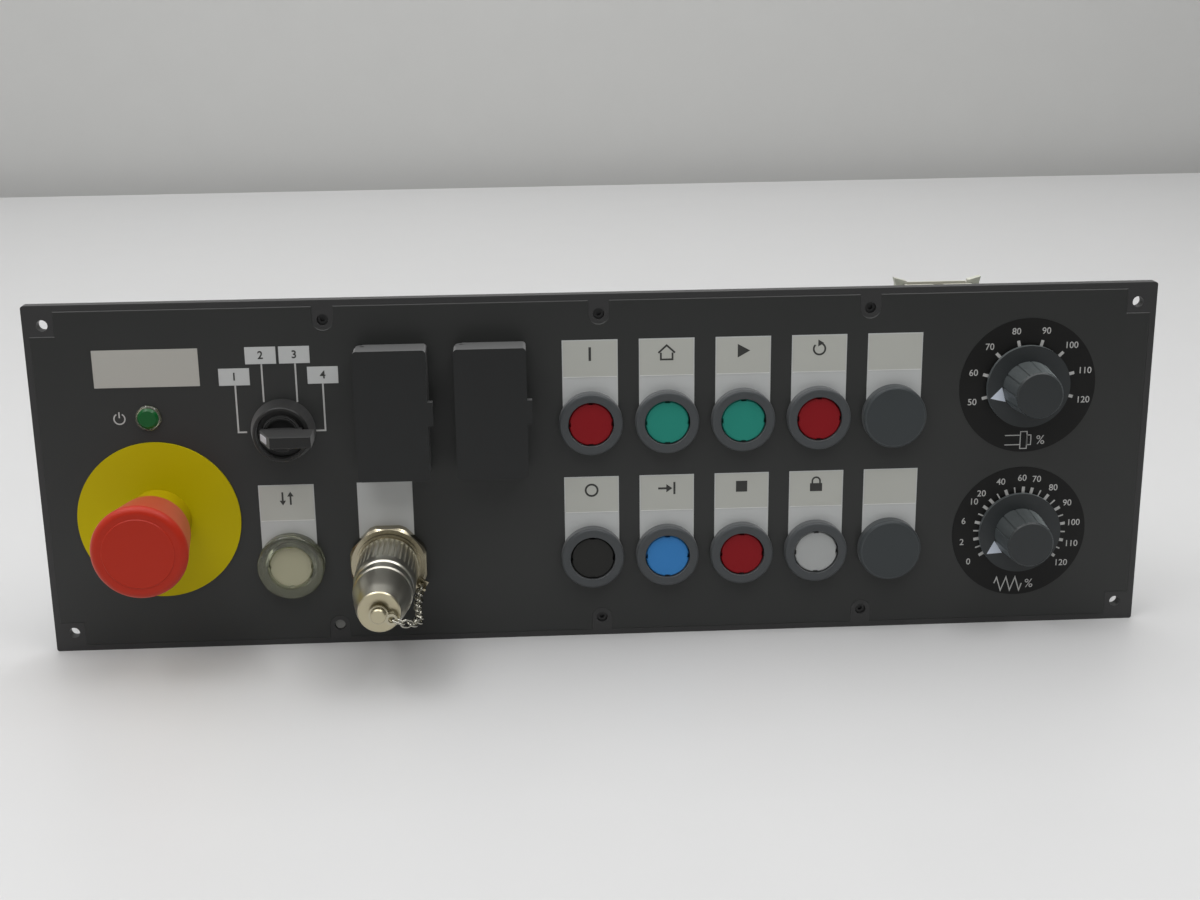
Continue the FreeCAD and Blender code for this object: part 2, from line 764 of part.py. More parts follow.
def make_bezels():
    bezel = make_bezel("button_bezel", bezel_radius, bezel_tall)
    copies("button_bezels", [(bezel, x, z) for x, z in button_places])
    keep(make_bezel("clear_bezel", clear_radius, clear_tall, *clear_place))
    front = label_face + plug_tall
    bore = barrel_radius - plug_wall
    plug = turned("blanking_plug", [(bore, -barrel_rear), (barrel_radius, -barrel_rear),
                                    (barrel_radius, label_face), (bezel_radius, label_face),
                                    (bezel_radius, front), (0, front), (0, front - plug_wall),
                                    (bore, front - plug_wall)])
    soften(plug, rim(bezel_radius, front), bezel_round)
    copies("blanking_plugs", [(plug, x, z) for x, z in plug_places])


# A lens with its plunger; four notches in the rim take the fitting tool.
def make_lens(label, x, z):
    tail = button_travel + stop_gap - barrel_rear
    body = keep(turned(label, [(0, tail), (plunger_radius, tail), (plunger_radius, lens_rear),
                               (lens_radius, lens_rear), (lens_radius, lens_front - lens_edge),
                               (lens_radius - lens_edge, lens_front), (0, lens_front)], x, z))
    made = front_sketch(body, lens_front)
    rectangle(made, -lens_notch_wide / 2, lens_notch_wide / 2, lens_radius - lens_notch_deep,
              lens_radius + lens_gap)
    repeat_around(body, pocket(body, made, lens_thick / 2), lens_notches)


def make_emergency_stop():
    disc_face = film_face + disc_thick
    keep(turned("estop_disc", [(barrel_radius + hole_gap, film_face), (disc_radius, film_face),
                               (disc_radius, disc_face), (barrel_radius + hole_gap, disc_face)],
                *estop_place))
    top = disc_face + collar_tall
    bore = stem_radius + plunger_gap
    keep(turned("estop_collar", [(bore, -barrel_rear), (barrel_radius, -barrel_rear),
                                 (barrel_radius, disc_face), (collar_radius, disc_face),
                                 (collar_top, top), (bore, top)], *estop_place))
    rear = top + estop_travel + head_gap
    tail = estop_travel + stop_gap - barrel_rear
    keep(turned("estop_stem", [(0, tail), (stem_radius, tail), (stem_radius, rear), (0, rear)],
                *estop_place))
    front = rear + head_deep
    head = keep(turned("estop_head", [(0, rear), (head_rear, rear), (head_front, front),
                                      (head_face, front), (head_face - head_step, front + head_step),
                                      (0, front + head_step)], *estop_place))
    soften(head, rim(head_front, front), head_round)
    block = keep(sheet_piece("estop_contact_block", *estop_place, block_width, block_tall,
                             -barrel_rear - block_deep, block_deep))
    made = front_sketch(block, -barrel_rear - block_deep)
    for side in (-1, 1):
        middle = side * (block_tall - terminal_tall) / 2
        box_about(made, size(0), middle, block_width, terminal_tall)
    pocket(block, made, terminal_deep, reverse=True)


selector_front = film_face + selector_tall
selector_seat = film_face + selector_floor
lever_base = selector_seat + plunger_gap + selector_disc
lever_over = selector_front + lever_gap
lever_front = film_face + lever_out


def make_selector():
    bezel = keep(turned("selector_bezel", [(plunger_bore, -barrel_rear), (barrel_radius, -barrel_rear),
                                           (barrel_radius, film_face), (bezel_radius, film_face),
                                           (selector_top, selector_front), (selector_mouth, selector_front),
                                           (selector_mouth, selector_seat), (plunger_bore, selector_seat)],
                        *selector_place))
    soften(bezel, rim(selector_top, selector_front), selector_round)
    tail = stop_gap - barrel_rear
    disc_rear = selector_seat + plunger_gap
    edge = selector_mouth - lens_gap
    rim_front = lever_base + selector_rim_tall
    rim_inner = selector_rim - selector_rim_wall
    knob = keep(turned("selector_knob", [(0, tail), (plunger_radius, tail), (plunger_radius, disc_rear),
                                         (edge, disc_rear), (edge, lever_base),
                                         (selector_rim, lever_base), (selector_rim, rim_front),
                                         (rim_inner, rim_front), (rim_inner, lever_base),
                                         (0, lever_base)], *selector_place))
    made = new_sketch(knob, "XY_Plane")
    lever = [(-lever_left, lever_base), (lever_root, lever_base), (lever_root, lever_over),
             (lever_right, lever_over), (lever_right, lever_front), (-lever_tip, lever_front),
             (-lever_left, lever_over)]
    outline(made, [(x, -out) for x, out in lever])
    pad(knob, made, lever_thick, middle=True)

    def on_lever(edge):
        in_front = edge.BoundBox.YMax < -lever_over.number - lever_gap.number
        return in_front and runs_along(edge, FreeCAD.Vector(1, 0, 0))

    soften(knob, on_lever, lever_round)
    marker = keep(new_body("selector_marker", *selector_place))
    made = new_sketch(marker, "XY_Plane")
    low_x = marker_low * (lever_left - lever_tip) - lever_left
    high_x = marker_high * (lever_left - lever_tip) - lever_left
    low_out = lever_over + marker_low * (lever_front - lever_over)
    high_out = lever_over + marker_high * (lever_front - lever_over)
    outline(made, [(low_x, -low_out), (high_x, -high_out), (high_x - marker_thick, -high_out),
                   (low_x - marker_thick, -low_out)])
    pad(marker, made, marker_wide, middle=True)


def make_lamp():
    bore = lamp_lens + fit_gap
    tube = bore + lamp_wall
    top = film_face + lamp_ring_tall
    keep(turned("lamp_ring", [(bore, -lamp_rear), (tube, -lamp_rear), (tube, film_face),
                              (lamp_ring, film_face), (lamp_ring, top - lamp_ring_edge),
                              (lamp_ring - lamp_ring_edge, top), (bore, top)], *lamp_place))
    keep(turned("lamp_lens", [(0, -lamp_rear), (lamp_lens, -lamp_rear), (lamp_lens, top),
                              (lamp_lens - lamp_dome, top + lamp_dome), (0, top + lamp_dome)],
                *lamp_place))


lid_rear = film_face + lid_gap
lid_left = -lid_width / 2
hinge_x = lid_left + hinge_inset
hinge_out = film_face + hinge_rise
lid_inner = lid_tall / 2 - lid_wall


# A cover is a hood with a hinge pin along its left edge and a finger tab on the right.
def make_cover(label, x, z):
    body = keep(new_body(label, x, z))
    made = front_sketch(body, lid_rear)
    box_about(made, size(0), size(0), lid_width, lid_tall)
    pad(body, made, lid_deep)
    soften(body, lambda edge: runs_along(edge, FreeCAD.Vector(0, 1, 0)), lid_corner)
    made = front_sketch(body, lid_rear)
    box_about(made, size(0), size(0), lid_width - 2 * lid_wall, lid_tall - 2 * lid_wall)
    pocket(body, made, lid_deep - lid_wall, reverse=True)
    made = new_sketch(body, "XY_Plane")
    rectangle(made, lid_left - hinge_inset, hinge_x, -hinge_out, size(0))
    pocket(body, made, lid_tall + lid_wall, middle=True)
    for end in (-lid_tall / 2, lid_inner):
        made = new_sketch(body, "XY_Plane", end)
        circle(made, hinge_x, -hinge_out, ear_radius)
        pad(body, made, lid_wall)
    made = new_sketch(body, "XY_Plane")
    circle(made, hinge_x, -hinge_out, pin_radius + fit_gap)
    pocket(body, made, lid_tall + lid_wall, middle=True)
    front = lid_rear + lid_deep
    made = front_sketch(body, front - tab_deep)
    box_about(made, lid_width / 2 + tab_wide / 2 - lid_wall / 2, tab_lift, tab_wide + lid_wall, tab_tall)
    pad(body, made, tab_deep)


# A port frame is a flanged sleeve with two hinge lugs and the openings for its sockets.
def make_port_frame(label, x, z, openings):
    body = keep(new_body(label, x, z))
    flange_left = hinge_x + plunger_gap
    flange_right = lid_width / 2 - lid_wall - frame_gap
    flange_half = lid_inner - frame_gap
    flange_face = film_face + flange_thick
    made = front_sketch(body, film_face)
    rectangle(made, flange_left, flange_right, -flange_half, flange_half)
    pad(body, made, flange_thick)
    made = front_sketch(body, -sleeve_rear)
    box_about(made, size(0), size(0), sleeve_width, sleeve_tall)
    pad(body, made, sleeve_rear + film_face)
    for end in (-flange_half, flange_half - lug_thick):
        made = new_sketch(body, "XY_Plane", end)
        rectangle(made, flange_left, flange_left + lug_thick, -hinge_out - lug_radius, -film_face)
        pad(body, made, lug_thick)
        made = new_sketch(body, "XY_Plane", end)
        circle(made, hinge_x, -hinge_out, lug_radius)
        pad(body, made, lug_thick)
    made = new_sketch(body, "XY_Plane")
    circle(made, hinge_x, -hinge_out, pin_radius + fit_gap)
    pocket(body, made, lid_tall, middle=True)
    made = front_sketch(body, flange_face)
    for middle, width, tall in openings:
        box_about(made, size(0), middle, width + 2 * fit_gap, tall + 2 * fit_gap)
    pocket(body, made)


def make_ports():
    for label, (x, z) in zip(("left_port_cover", "right_port_cover"), port_places):
        make_cover(label, x, z)
    left_openings = [(network_z, network_width, network_tall),
                     (serial_bus_z, serial_bus_width, serial_bus_tall)]
    make_port_frame("left_port_frame", *port_places[0], left_openings)
    make_port_frame("right_port_frame", *port_places[1], [(size(0), dsub_shell_wide, dsub_shell_tall)])
    pin = new_body("hinge_pin")
    made = new_sketch(pin, "XY_Plane")
    circle(made, hinge_x, -hinge_out, pin_radius)
    pad(pin, made, lid_tall - 2 * fit_gap, middle=True)
    copies("port_hinge_pins", [(pin, x, z) for x, z in port_places])


def make_sockets():
    face = film_face + flange_thick
    left_x, z = port_places[0]
    right_x = port_places[1][0]
    network = keep(sheet_piece("network_socket", left_x, z + network_z, network_width, network_tall,
                               -sleeve_rear, sleeve_rear + face))
    made = front_sketch(network, face)
    box_about(made, size(0), size(0), network_mouth_wide, network_mouth_tall)
    pocket(network, made, socket_deep_in)
    made = front_sketch(network, face)
    box_about(made, size(0), -(network_mouth_tall + network_key_tall) / 2, network_key_wide, network_key_tall)
    pocket(network, made, socket_deep_in)
    serial_bus = keep(sheet_piece("serial_bus_socket", left_x, z + serial_bus_z, serial_bus_width,
                                  serial_bus_tall, -sleeve_rear, sleeve_rear + face))
    made = front_sketch(serial_bus, face)
    box_about(made, size(0), size(0), serial_bus_width - 2 * serial_bus_wall,
              serial_bus_tall - 2 * serial_bus_wall)
    pocket(serial_bus, made, socket_deep_in)
    made = front_sketch(serial_bus, face - socket_deep_in)
    box_about(made, size(0), tongue_gap, serial_bus_width - 2 * (serial_bus_wall + tongue_gap), tongue_tall)
    pad(serial_bus, made, socket_deep_in - tongue_gap)
    dsub = keep(sheet_piece("dsub_socket", right_x, z, dsub_width, dsub_tall, face, dsub_plate))
    made = front_sketch(dsub, -sleeve_rear)
    box_about(made, size(0), size(0), dsub_shell_wide, dsub_shell_tall)
    pad(dsub, made, sleeve_rear + face)
    for grow, level, cut in ((0, face + dsub_plate, False), (1, face + dsub_plate + dsub_shell_out, True)):
        half_wide = dsub_shell_wide / 2 - grow * dsub_wall
        half_tall = dsub_shell_tall / 2 - grow * dsub_wall
        made = front_sketch(dsub, level)
        outline(made, [(-half_wide, -half_tall), (half_wide, dsub_slope - half_tall),
                       (half_wide, half_tall - dsub_slope), (-half_wide, half_tall)])
        if cut:
            pocket(dsub, made, dsub_shell_out)
        else:
            pad(dsub, made, dsub_shell_out)


hex_front = label_face + hex_tall
ring_front = hex_front + chain_ring_thick
cap_rear = ring_front + cap_gap
post_root = cap_end_out
post_shoulder = post_root + post_neck_long
swivel_level = post_shoulder - swivel_thick - plunger_gap
swivel_hole = post_neck + plunger_gap
swivel_reach = swivel_hole + swivel_wall + eye_hole + eye_wall - swivel_lap
lug_inner = cap_radius + chain_lug_gap
lug_eye = lug_inner + chain_lug_wide / 2
lug_eye_out = hex_front + chain_lug_tall - eye_hole - eye_wall


def make_connector():
    keep(turned("connector_receptacle", [(0, -shell_rear), (shell_rear_radius, -shell_rear),
                                         (shell_rear_radius, -seat_thick), (seat_radius, -seat_thick),
                                         (seat_radius, 0), (thread_radius, 0),
                                         (thread_radius, ring_front), (shell_radius, ring_front),
                                         (shell_radius, shell_front), (insert_radius, shell_front),
                                         (insert_radius, insert_front), (0, insert_front)],
                *plug_place))
    bore = thread_radius + fit_gap
    nut = keep(turned("connector_nut", [(bore, label_face), (hex_radius, label_face),
                                        (hex_radius, hex_front - hex_edge),
                                        (hex_radius - hex_edge, hex_front), (bore, hex_front)],
                      *plug_place))
    made = front_sketch(nut, hex_front)
    rectangle(made, -hex_radius / 2, hex_radius / 2, hex_flat, hex_flat + hex_edge * 2)
    repeat_around(nut, pocket(nut, made), hex_flats)
    ring = keep(turned("chain_ring", [(bore, hex_front), (chain_ring_radius, hex_front),
                                      (chain_ring_radius, ring_front), (bore, ring_front)],
                       *plug_place, chain_turn))
    made = front_sketch(ring, hex_front)
    rectangle(made, bore, lug_inner + chain_lug_wide, -chain_tab_wide / 2, chain_tab_wide / 2)
    pad(ring, made, chain_ring_thick)
    made = front_sketch(ring, ring_front)
    circle(made, 0, 0, bore)
    pocket(ring, made)
    made = new_sketch(ring, "XY_Plane")
    rectangle(made, lug_inner, lug_inner + chain_lug_wide, -hex_front - chain_lug_tall, -hex_front)
    pad(ring, made, chain_lug_thick, middle=True)
    made = new_sketch(ring, "XY_Plane")
    circle(made, lug_eye, -lug_eye_out, eye_hole)
    pocket(ring, made, chain_lug_thick + chain_ring_thick, middle=True)


def make_cap():
    bore = shell_radius + plunger_gap
    closed = shell_front + cap_depth
    grip_end = cap_rear + cap_grip_long
    groove_end = grip_end + cap_groove_wide
    band_end = groove_end + cap_band_wide
    head = post_shoulder + post_head_tall
    rim_start = grip_end - cap_rim
    band = cap_radius - cap_edge
    cap = keep(turned("connector_cap", [(bore, cap_rear), (cap_radius - cap_edge, cap_rear),
                                        (cap_radius, cap_rear + cap_edge), (cap_radius, rim_start),
                                        (band, grip_end), (cap_groove, grip_end),
                                        (cap_groove, groove_end), (band, groove_end), (band, band_end),
                                        (cap_body, band_end), (cap_shoulder, post_root - cap_shoulder_back),
                                        (cap_bend, post_root - cap_bend_back),
                                        (cap_end, post_root - cap_edge), (cap_end - cap_edge, post_root),
                                        (post_neck, post_root), (post_neck, post_shoulder),
                                        (post_head, post_shoulder), (post_head, head - cap_edge),
                                        (post_head - cap_edge, head), (0, head), (0, closed),
                                        (bore, closed)], *plug_place))
    made = front_sketch(cap, rim_start)
    circle(made, 0, cap_radius, cap_flute)
    repeat_around(cap, pocket(cap, made, rim_start - cap_rear - cap_edge * 2), cap_flutes)
    swivel = keep(new_body("cap_swivel", *plug_place, swivel_turn))
    for x, radius in ((0, swivel_hole + swivel_wall), (swivel_reach, eye_hole + eye_wall)):
        made = front_sketch(swivel, swivel_level)
        circle(made, x, 0, radius)
        pad(swivel, made, swivel_thick)
    made = front_sketch(swivel, swivel_level + swivel_thick)
    circle(made, 0, 0, swivel_hole)
    circle(made, swivel_reach, 0, eye_hole)
    pocket(swivel, made)


# The chain hangs from the swivel's eye to the ring's lug, each link turned a quarter against the last.
def chain_path(lead):
    start_out = (swivel_level + swivel_thick / 2).number
    end_out = lug_eye_out.number
    bulge = cap_radius.number + chain_bulge.number
    span = start_out - end_out

    # share is the part of the way from the swivel to the lug
    def spot(share, radius, drop):
        turn = math.radians((swivel_turn + (chain_turn - swivel_turn) * share).number)
        across = FreeCAD.Vector(math.cos(turn), 0, -math.sin(turn)) * radius
        return across + FreeCAD.Vector(0, span * share - start_out, -chain_sag.number * drop)

    reach = swivel_reach.number
    return [spot(0, reach, 0), spot(0, reach + lead, 0), spot(0, reach + 4 / 3 * lead, 0),
            spot(1 / 7, bulge, 1 / 3), spot(1 / 2, bulge, 1), spot(3 / 4, bulge, 1),
            spot(1, lug_eye.number, 0)]


# One link lies along X in the XY plane: an eight-sided wire bent round two ends, its corners mitred.
def link_solid():
    wire = link_wire.number
    half = (link_inner.number - link_mouth.number) / 2
    radius = link_mouth.number / 2 + wire
    bends = int(link_bends.number)
    sides = int(link_sides.number)
    path = []
    for side in (1, -1):
        for number in range(bends + 1):
            turn = math.pi * (number / bends - side / 2)
            path.append(FreeCAD.Vector(side * half + radius * math.cos(turn), radius * math.sin(turn), 0))
    rings = []
    for number, corner in enumerate(path):
        arriving = corner - path[number - 1]
        leaving = path[(number + 1) % len(path)] - corner
        arriving.normalize()
        leaving.normalize()
        forward = arriving + leaving
        forward.normalize()
        outward = FreeCAD.Vector(forward.y, -forward.x, 0) * (wire / forward.dot(leaving))
        upward = FreeCAD.Vector(0, 0, wire)
        turns = [2 * math.pi * step / sides for step in range(sides)]
        rings.append([corner + outward * math.cos(turn) + upward * math.sin(turn) for turn in turns])
    faces = []
    for number, ring in enumerate(rings):
        after = rings[(number + 1) % len(rings)]
        for step in range(sides):
            beside = (step + 1) % sides
            corners = [ring[step], ring[beside], after[beside], after[step], ring[step]]
            faces.append(Part.Face(Part.makePolygon(corners)))
    solid = Part.Solid(Part.Shell(faces))
    if solid.Volume < 0:
        solid.reverse()
    return solid


def make_chain():
    lead = link_inner.number / 2 + link_wire.number
    curve = Part.BSplineCurve()
    curve.interpolate(chain_path(lead))
    room = curve.length() - 2 * lead
    steps = math.ceil(room / (link_inner.number - link_slack.number))
    steps += 1 - steps % 2
    turn = math.radians(chain_turn.number)
    sideways = FreeCAD.Vector(math.sin(turn), 0, math.cos(turn))
    pattern = link_solid()
    links = []
    for number in range(steps + 1):
        at = curve.parameterAtDistance(lead + room * number / steps)
        along = FreeCAD.Vector(curve.tangent(at)[0])
        along.normalize()
        normal = sideways - along * sideways.dot(along)
        normal.normalize()
        across = normal.cross(along) if number % 2 == 0 else normal
        link = pattern.copy()
        turning = FreeCAD.Rotation(along, across, FreeCAD.Vector(), "XYZ")
        link.Placement = FreeCAD.Placement(curve.value(at), turning)
        links.append(link)
    chain = keep(doc.addObject("Part::Feature", "cap_chain"))
    chain.Label = "cap_chain"
    chain.Shape = Part.makeCompound(links)
    place(chain, *plug_place)


grip_rear = label_face + skirt_gap
cavity_top = film_face + bushing_tall + stop_gap


def make_knob(label, x, z):
    skirt_front = grip_rear + skirt_thick
    front = film_face + grip_out
    bore = shaft_radius + fit_gap / 2
    bore_end = cavity_top + shaft_grip + stop_gap
    body = keep(turned(label, [(grip_cavity, grip_rear), (skirt_radius, grip_rear),
                               (skirt_radius, skirt_front), (grip_base, skirt_front),
                               (grip_front, front - grip_edge), (grip_front - grip_edge, front),
                               (0, front), (0, bore_end), (bore, bore_end), (bore, cavity_top),
                               (grip_cavity, cavity_top)], x, z))
    made = front_sketch(body, front)
    rectangle(made, -flute_wide / 2, flute_wide / 2, grip_front - flute_depth, grip_base + flute_depth)
    repeat_around(body, pocket(body, made, front - skirt_front), flute_count)


def make_dials():
    bore = shaft_radius + fit_gap
    rotary = turned("rotary_switch", [(0, -board_gap), (rotary_boss, -board_gap), (rotary_boss, -rotary_deep),
                                      (rotary_radius, -rotary_deep), (rotary_radius, 0),
                                      (bushing_radius, 0), (bushing_radius, film_face + bushing_tall),
                                      (bore, film_face + bushing_tall), (bore, -shaft_rear - stop_gap),
                                      (0, -shaft_rear - stop_gap)])
    copies("rotary_switches", [(rotary, x, z) for x, z in dial_places])
    nut = new_body("rotary_nut")
    made = front_sketch(nut, label_face)
    turns = [math.radians(60 * number) for number in range(6)]
    radius = rotary_nut_radius
    outline(made, [(radius * math.cos(turn), radius * math.sin(turn)) for turn in turns])
    pad(nut, made, rotary_nut_tall)
    made = front_sketch(nut, label_face + rotary_nut_tall)
    circle(made, 0, 0, bushing_radius + fit_gap)
    pocket(nut, made)
    copies("rotary_nuts", [(nut, x, z) for x, z in dial_places])
    shaft_end = cavity_top + shaft_grip
    for name, (x, z) in zip(("spindle", "feed"), dial_places):
        make_knob(f"{name}_knob", x, z)
        keep(turned(f"{name}_shaft", [(0, -shaft_rear), (shaft_radius, -shaft_rear),
                                      (shaft_radius, shaft_end), (0, shaft_end)], x, z))


latch_middle = -board_rear - header_deep / 2
latch_pivot = header_low + latch_pivot_up
latch_inner = header_half + latch_gap
pivot_side = latch_inner + latch_arm / 2


def make_header():
    body = keep(new_body("ribbon_header", header_x, 0))
    rear = -board_rear - header_deep
    ear_inner = latch_thick / 2 + fit_gap
    made = front_sketch(body, rear)
    rectangle(made, -header_half, header_half, header_low, header_top)
    pad(body, made, header_deep)
    for side in (-1, 1):
        for level in (latch_middle - ear_inner - latch_ear, latch_middle + ear_inner):
            made = front_sketch(body, level)
            outline(made, [(side * header_half, header_low), (side * (latch_inner + latch_arm), header_low),
                           (side * (latch_inner + latch_arm), latch_pivot + latch_foot),
                           (side * header_half, latch_pivot + latch_foot)])
            pad(body, made, latch_ear)
    made = front_sketch(body, -board_rear)
    for side in (-1, 1):
        circle(made, side * pivot_side, latch_pivot, latch_pin + fit_gap)
    pocket(body, made)
    made = new_sketch(body, "XY_Plane", header_top)
    rectangle(made, header_wall - header_half, header_half - header_wall, board_rear + header_wall,
              board_rear + header_deep - header_wall)
    pocket(body, made, header_top - header_low - header_floor)
    made = new_sketch(body, "XY_Plane", header_top)
    rectangle(made, -key_wide / 2, key_wide / 2, board_rear - header_wall, board_rear + header_wall * 1.5)
    pocket(body, made, header_top - header_low - header_floor)
    pin = new_body("header_pin")
    made = new_sketch(pin, "XY_Plane", header_low + header_floor)
    box_about(made, size(0), -latch_middle, pin_side, pin_side)
    pad(pin, made, header_top - header_low - header_floor - pin_top_gap)
    pins = doc.addObject("Part::Compound", "header_pins")
    pins.Label = "header_pins"
    links = []
    for column in range(int(pin_columns.number)):
        for row in (-1, 1):
            link = doc.addObject("App::Link", f"HeaderPin{column}_{row + 1}")
            link.LinkedObject = pin
            place(link, header_x + (column - (pin_columns - 1) / 2) * pin_pitch, size(0))
            bind(link, "Placement.Base.y", row * pin_pitch / 2)
            links.append(link)
    pins.Links = links
    keep(pins)
    for label, side in (("left_latch", -1), ("right_latch", 1)):
        make_latch(label, side)


# An ejector latch: a lever between two ears, with a hook over the header and a sloped finger tip.
def make_latch(label, side):
    body = keep(new_body(label, header_x, 0))
    foot = latch_pivot - latch_foot
    outer = latch_inner + latch_arm
    tip = latch_inner + latch_tip
    hook = header_half - latch_hook
    over = header_top + latch_gap
    made = front_sketch(body, latch_middle)
    points = [(latch_inner + latch_gap, foot), (outer - latch_gap, foot), (outer, latch_pivot),
              (outer, header_top), (tip, latch_top), (hook, latch_top - latch_slope), (hook, over),
              (latch_inner, over), (latch_inner, latch_pivot)]
    outline(made, [(side * x, z) for x, z in points])
    pad(body, made, latch_thick, middle=True)
    made = front_sketch(body, latch_middle)
    circle(made, side * pivot_side, latch_pivot, latch_pin)
    pad(body, made, latch_thick + 2 * latch_ear, middle=True)


make_front_plate()
make_front_film()
make_edge_screws()
make_rail("top_rail", 1)
make_rail("bottom_rail", -1)
make_board()
make_board_screws()
make_labels()
make_ring_nuts()
make_switch_elements()
make_bezels()
lens_names = ["red_on_lens", "green_home_lens", "green_start_lens", "red_reset_lens",
              "black_off_lens", "blue_cycle_lens", "red_stop_lens", "white_door_lens"]
for lens_name, (lens_x, lens_z) in zip(lens_names, button_places):
    make_lens(lens_name, lens_x, lens_z)
make_lens("clear_lens", *clear_place)
make_emergency_stop()
make_selector()
make_lamp()
make_ports()
make_sockets()
make_connector()
make_cap()
make_chain()
make_dials()
make_header()

doc.recompute()
for thing in doc.Objects:
    if "Invalid" in thing.State or "Error" in thing.State:
        raise RuntimeError(f"{thing.Label} did not build: {thing.State}")
os.makedirs("parts", exist_ok=True)
for thing in nodes:
    if not thing.Shape.isValid() or not thing.Shape.Solids:
        raise RuntimeError(f"{thing.Label} is not a valid solid")
    thing.Shape.exportStep(f"parts/{thing.Label}.step")
print(f"{len(nodes)} pieces written")
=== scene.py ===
import json
import math
import bmesh
import bpy
from mathutils import Matrix, Vector

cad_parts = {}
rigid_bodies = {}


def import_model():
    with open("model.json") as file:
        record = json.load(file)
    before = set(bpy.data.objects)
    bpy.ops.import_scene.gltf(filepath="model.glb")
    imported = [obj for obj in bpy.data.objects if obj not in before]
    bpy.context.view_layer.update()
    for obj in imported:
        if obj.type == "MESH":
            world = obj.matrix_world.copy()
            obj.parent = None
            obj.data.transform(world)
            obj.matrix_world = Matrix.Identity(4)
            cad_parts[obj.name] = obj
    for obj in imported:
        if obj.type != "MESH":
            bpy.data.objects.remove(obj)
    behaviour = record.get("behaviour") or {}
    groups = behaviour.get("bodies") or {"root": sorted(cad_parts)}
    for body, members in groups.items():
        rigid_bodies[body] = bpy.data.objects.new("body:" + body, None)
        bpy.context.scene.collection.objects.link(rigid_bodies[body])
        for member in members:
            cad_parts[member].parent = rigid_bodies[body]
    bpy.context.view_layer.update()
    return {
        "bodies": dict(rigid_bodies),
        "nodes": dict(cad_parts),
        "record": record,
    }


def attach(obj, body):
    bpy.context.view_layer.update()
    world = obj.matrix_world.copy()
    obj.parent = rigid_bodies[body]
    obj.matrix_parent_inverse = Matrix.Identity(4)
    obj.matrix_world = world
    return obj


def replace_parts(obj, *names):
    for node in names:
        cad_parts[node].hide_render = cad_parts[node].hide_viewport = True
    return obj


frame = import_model()
nodes = frame["nodes"]
ours = set(nodes.values()) | set(frame["bodies"].values())
for thing in list(bpy.context.scene.objects):
    if thing not in ours:
        bpy.data.objects.remove(thing)
print("frame loaded:", len(nodes), "pieces")


# A value in a node tree, so that sums on values add their Math nodes.
class Signal:
    def __init__(self, tree, socket=None):
        self.tree = tree
        self.socket = socket

    def node(self, kind, options=None, inputs=None, output=0):
        made = self.tree.nodes.new(kind)
        for name, value in (options or {}).items():
            setattr(made, name, value)
        for key, value in (inputs or {}).items():
            if isinstance(value, Signal):
                self.tree.links.new(value.socket, made.inputs[key])
            else:
                made.inputs[key].default_value = value
        return Signal(self.tree, made.outputs[output])

    def work(self, operation, first, second):
        return self.node("ShaderNodeMath", {"operation": operation}, {0: first, 1: second})

    def __add__(self, other):
        return self.work("ADD", self, other)

    def __radd__(self, other):
        return self.work("ADD", other, self)

    def __sub__(self, other):
        return self.work("SUBTRACT", self, other)

    def __rsub__(self, other):
        return self.work("SUBTRACT", other, self)

    def __mul__(self, other):
        return self.work("MULTIPLY", self, other)

    def __rmul__(self, other):
        return self.work("MULTIPLY", other, self)


# A screen colour from 0 to 255 as linear light.
def linear(colour):
    parts = [value / 255 for value in colour]
    return [part / 12.92 if part <= 0.04045 else ((part + 0.055) / 1.055) ** 2.4 for part in parts]


plainLook = {"rough": 0.5, "metal": 0.0, "coat": 0.0, "coatRough": 0.12, "spread": 0.06, "cloud": 18.0,
             "cloudDetail": 4.0, "roughSpread": 0.1, "grain": 900.0, "grainDetail": 2.0, "bump": 0.05,
             "depth": 0.0002, "stretch": (1.0, 1.0, 1.0), "specular": 0.5, "clear": 0.0, "sheen": 0.0,
             "sheenTint": (1.0, 1.0, 1.0), "dust": 0.0, "dustTint": (1.0, 1.0, 1.0), "paintedShade": None, "tip": None}
materials = {}


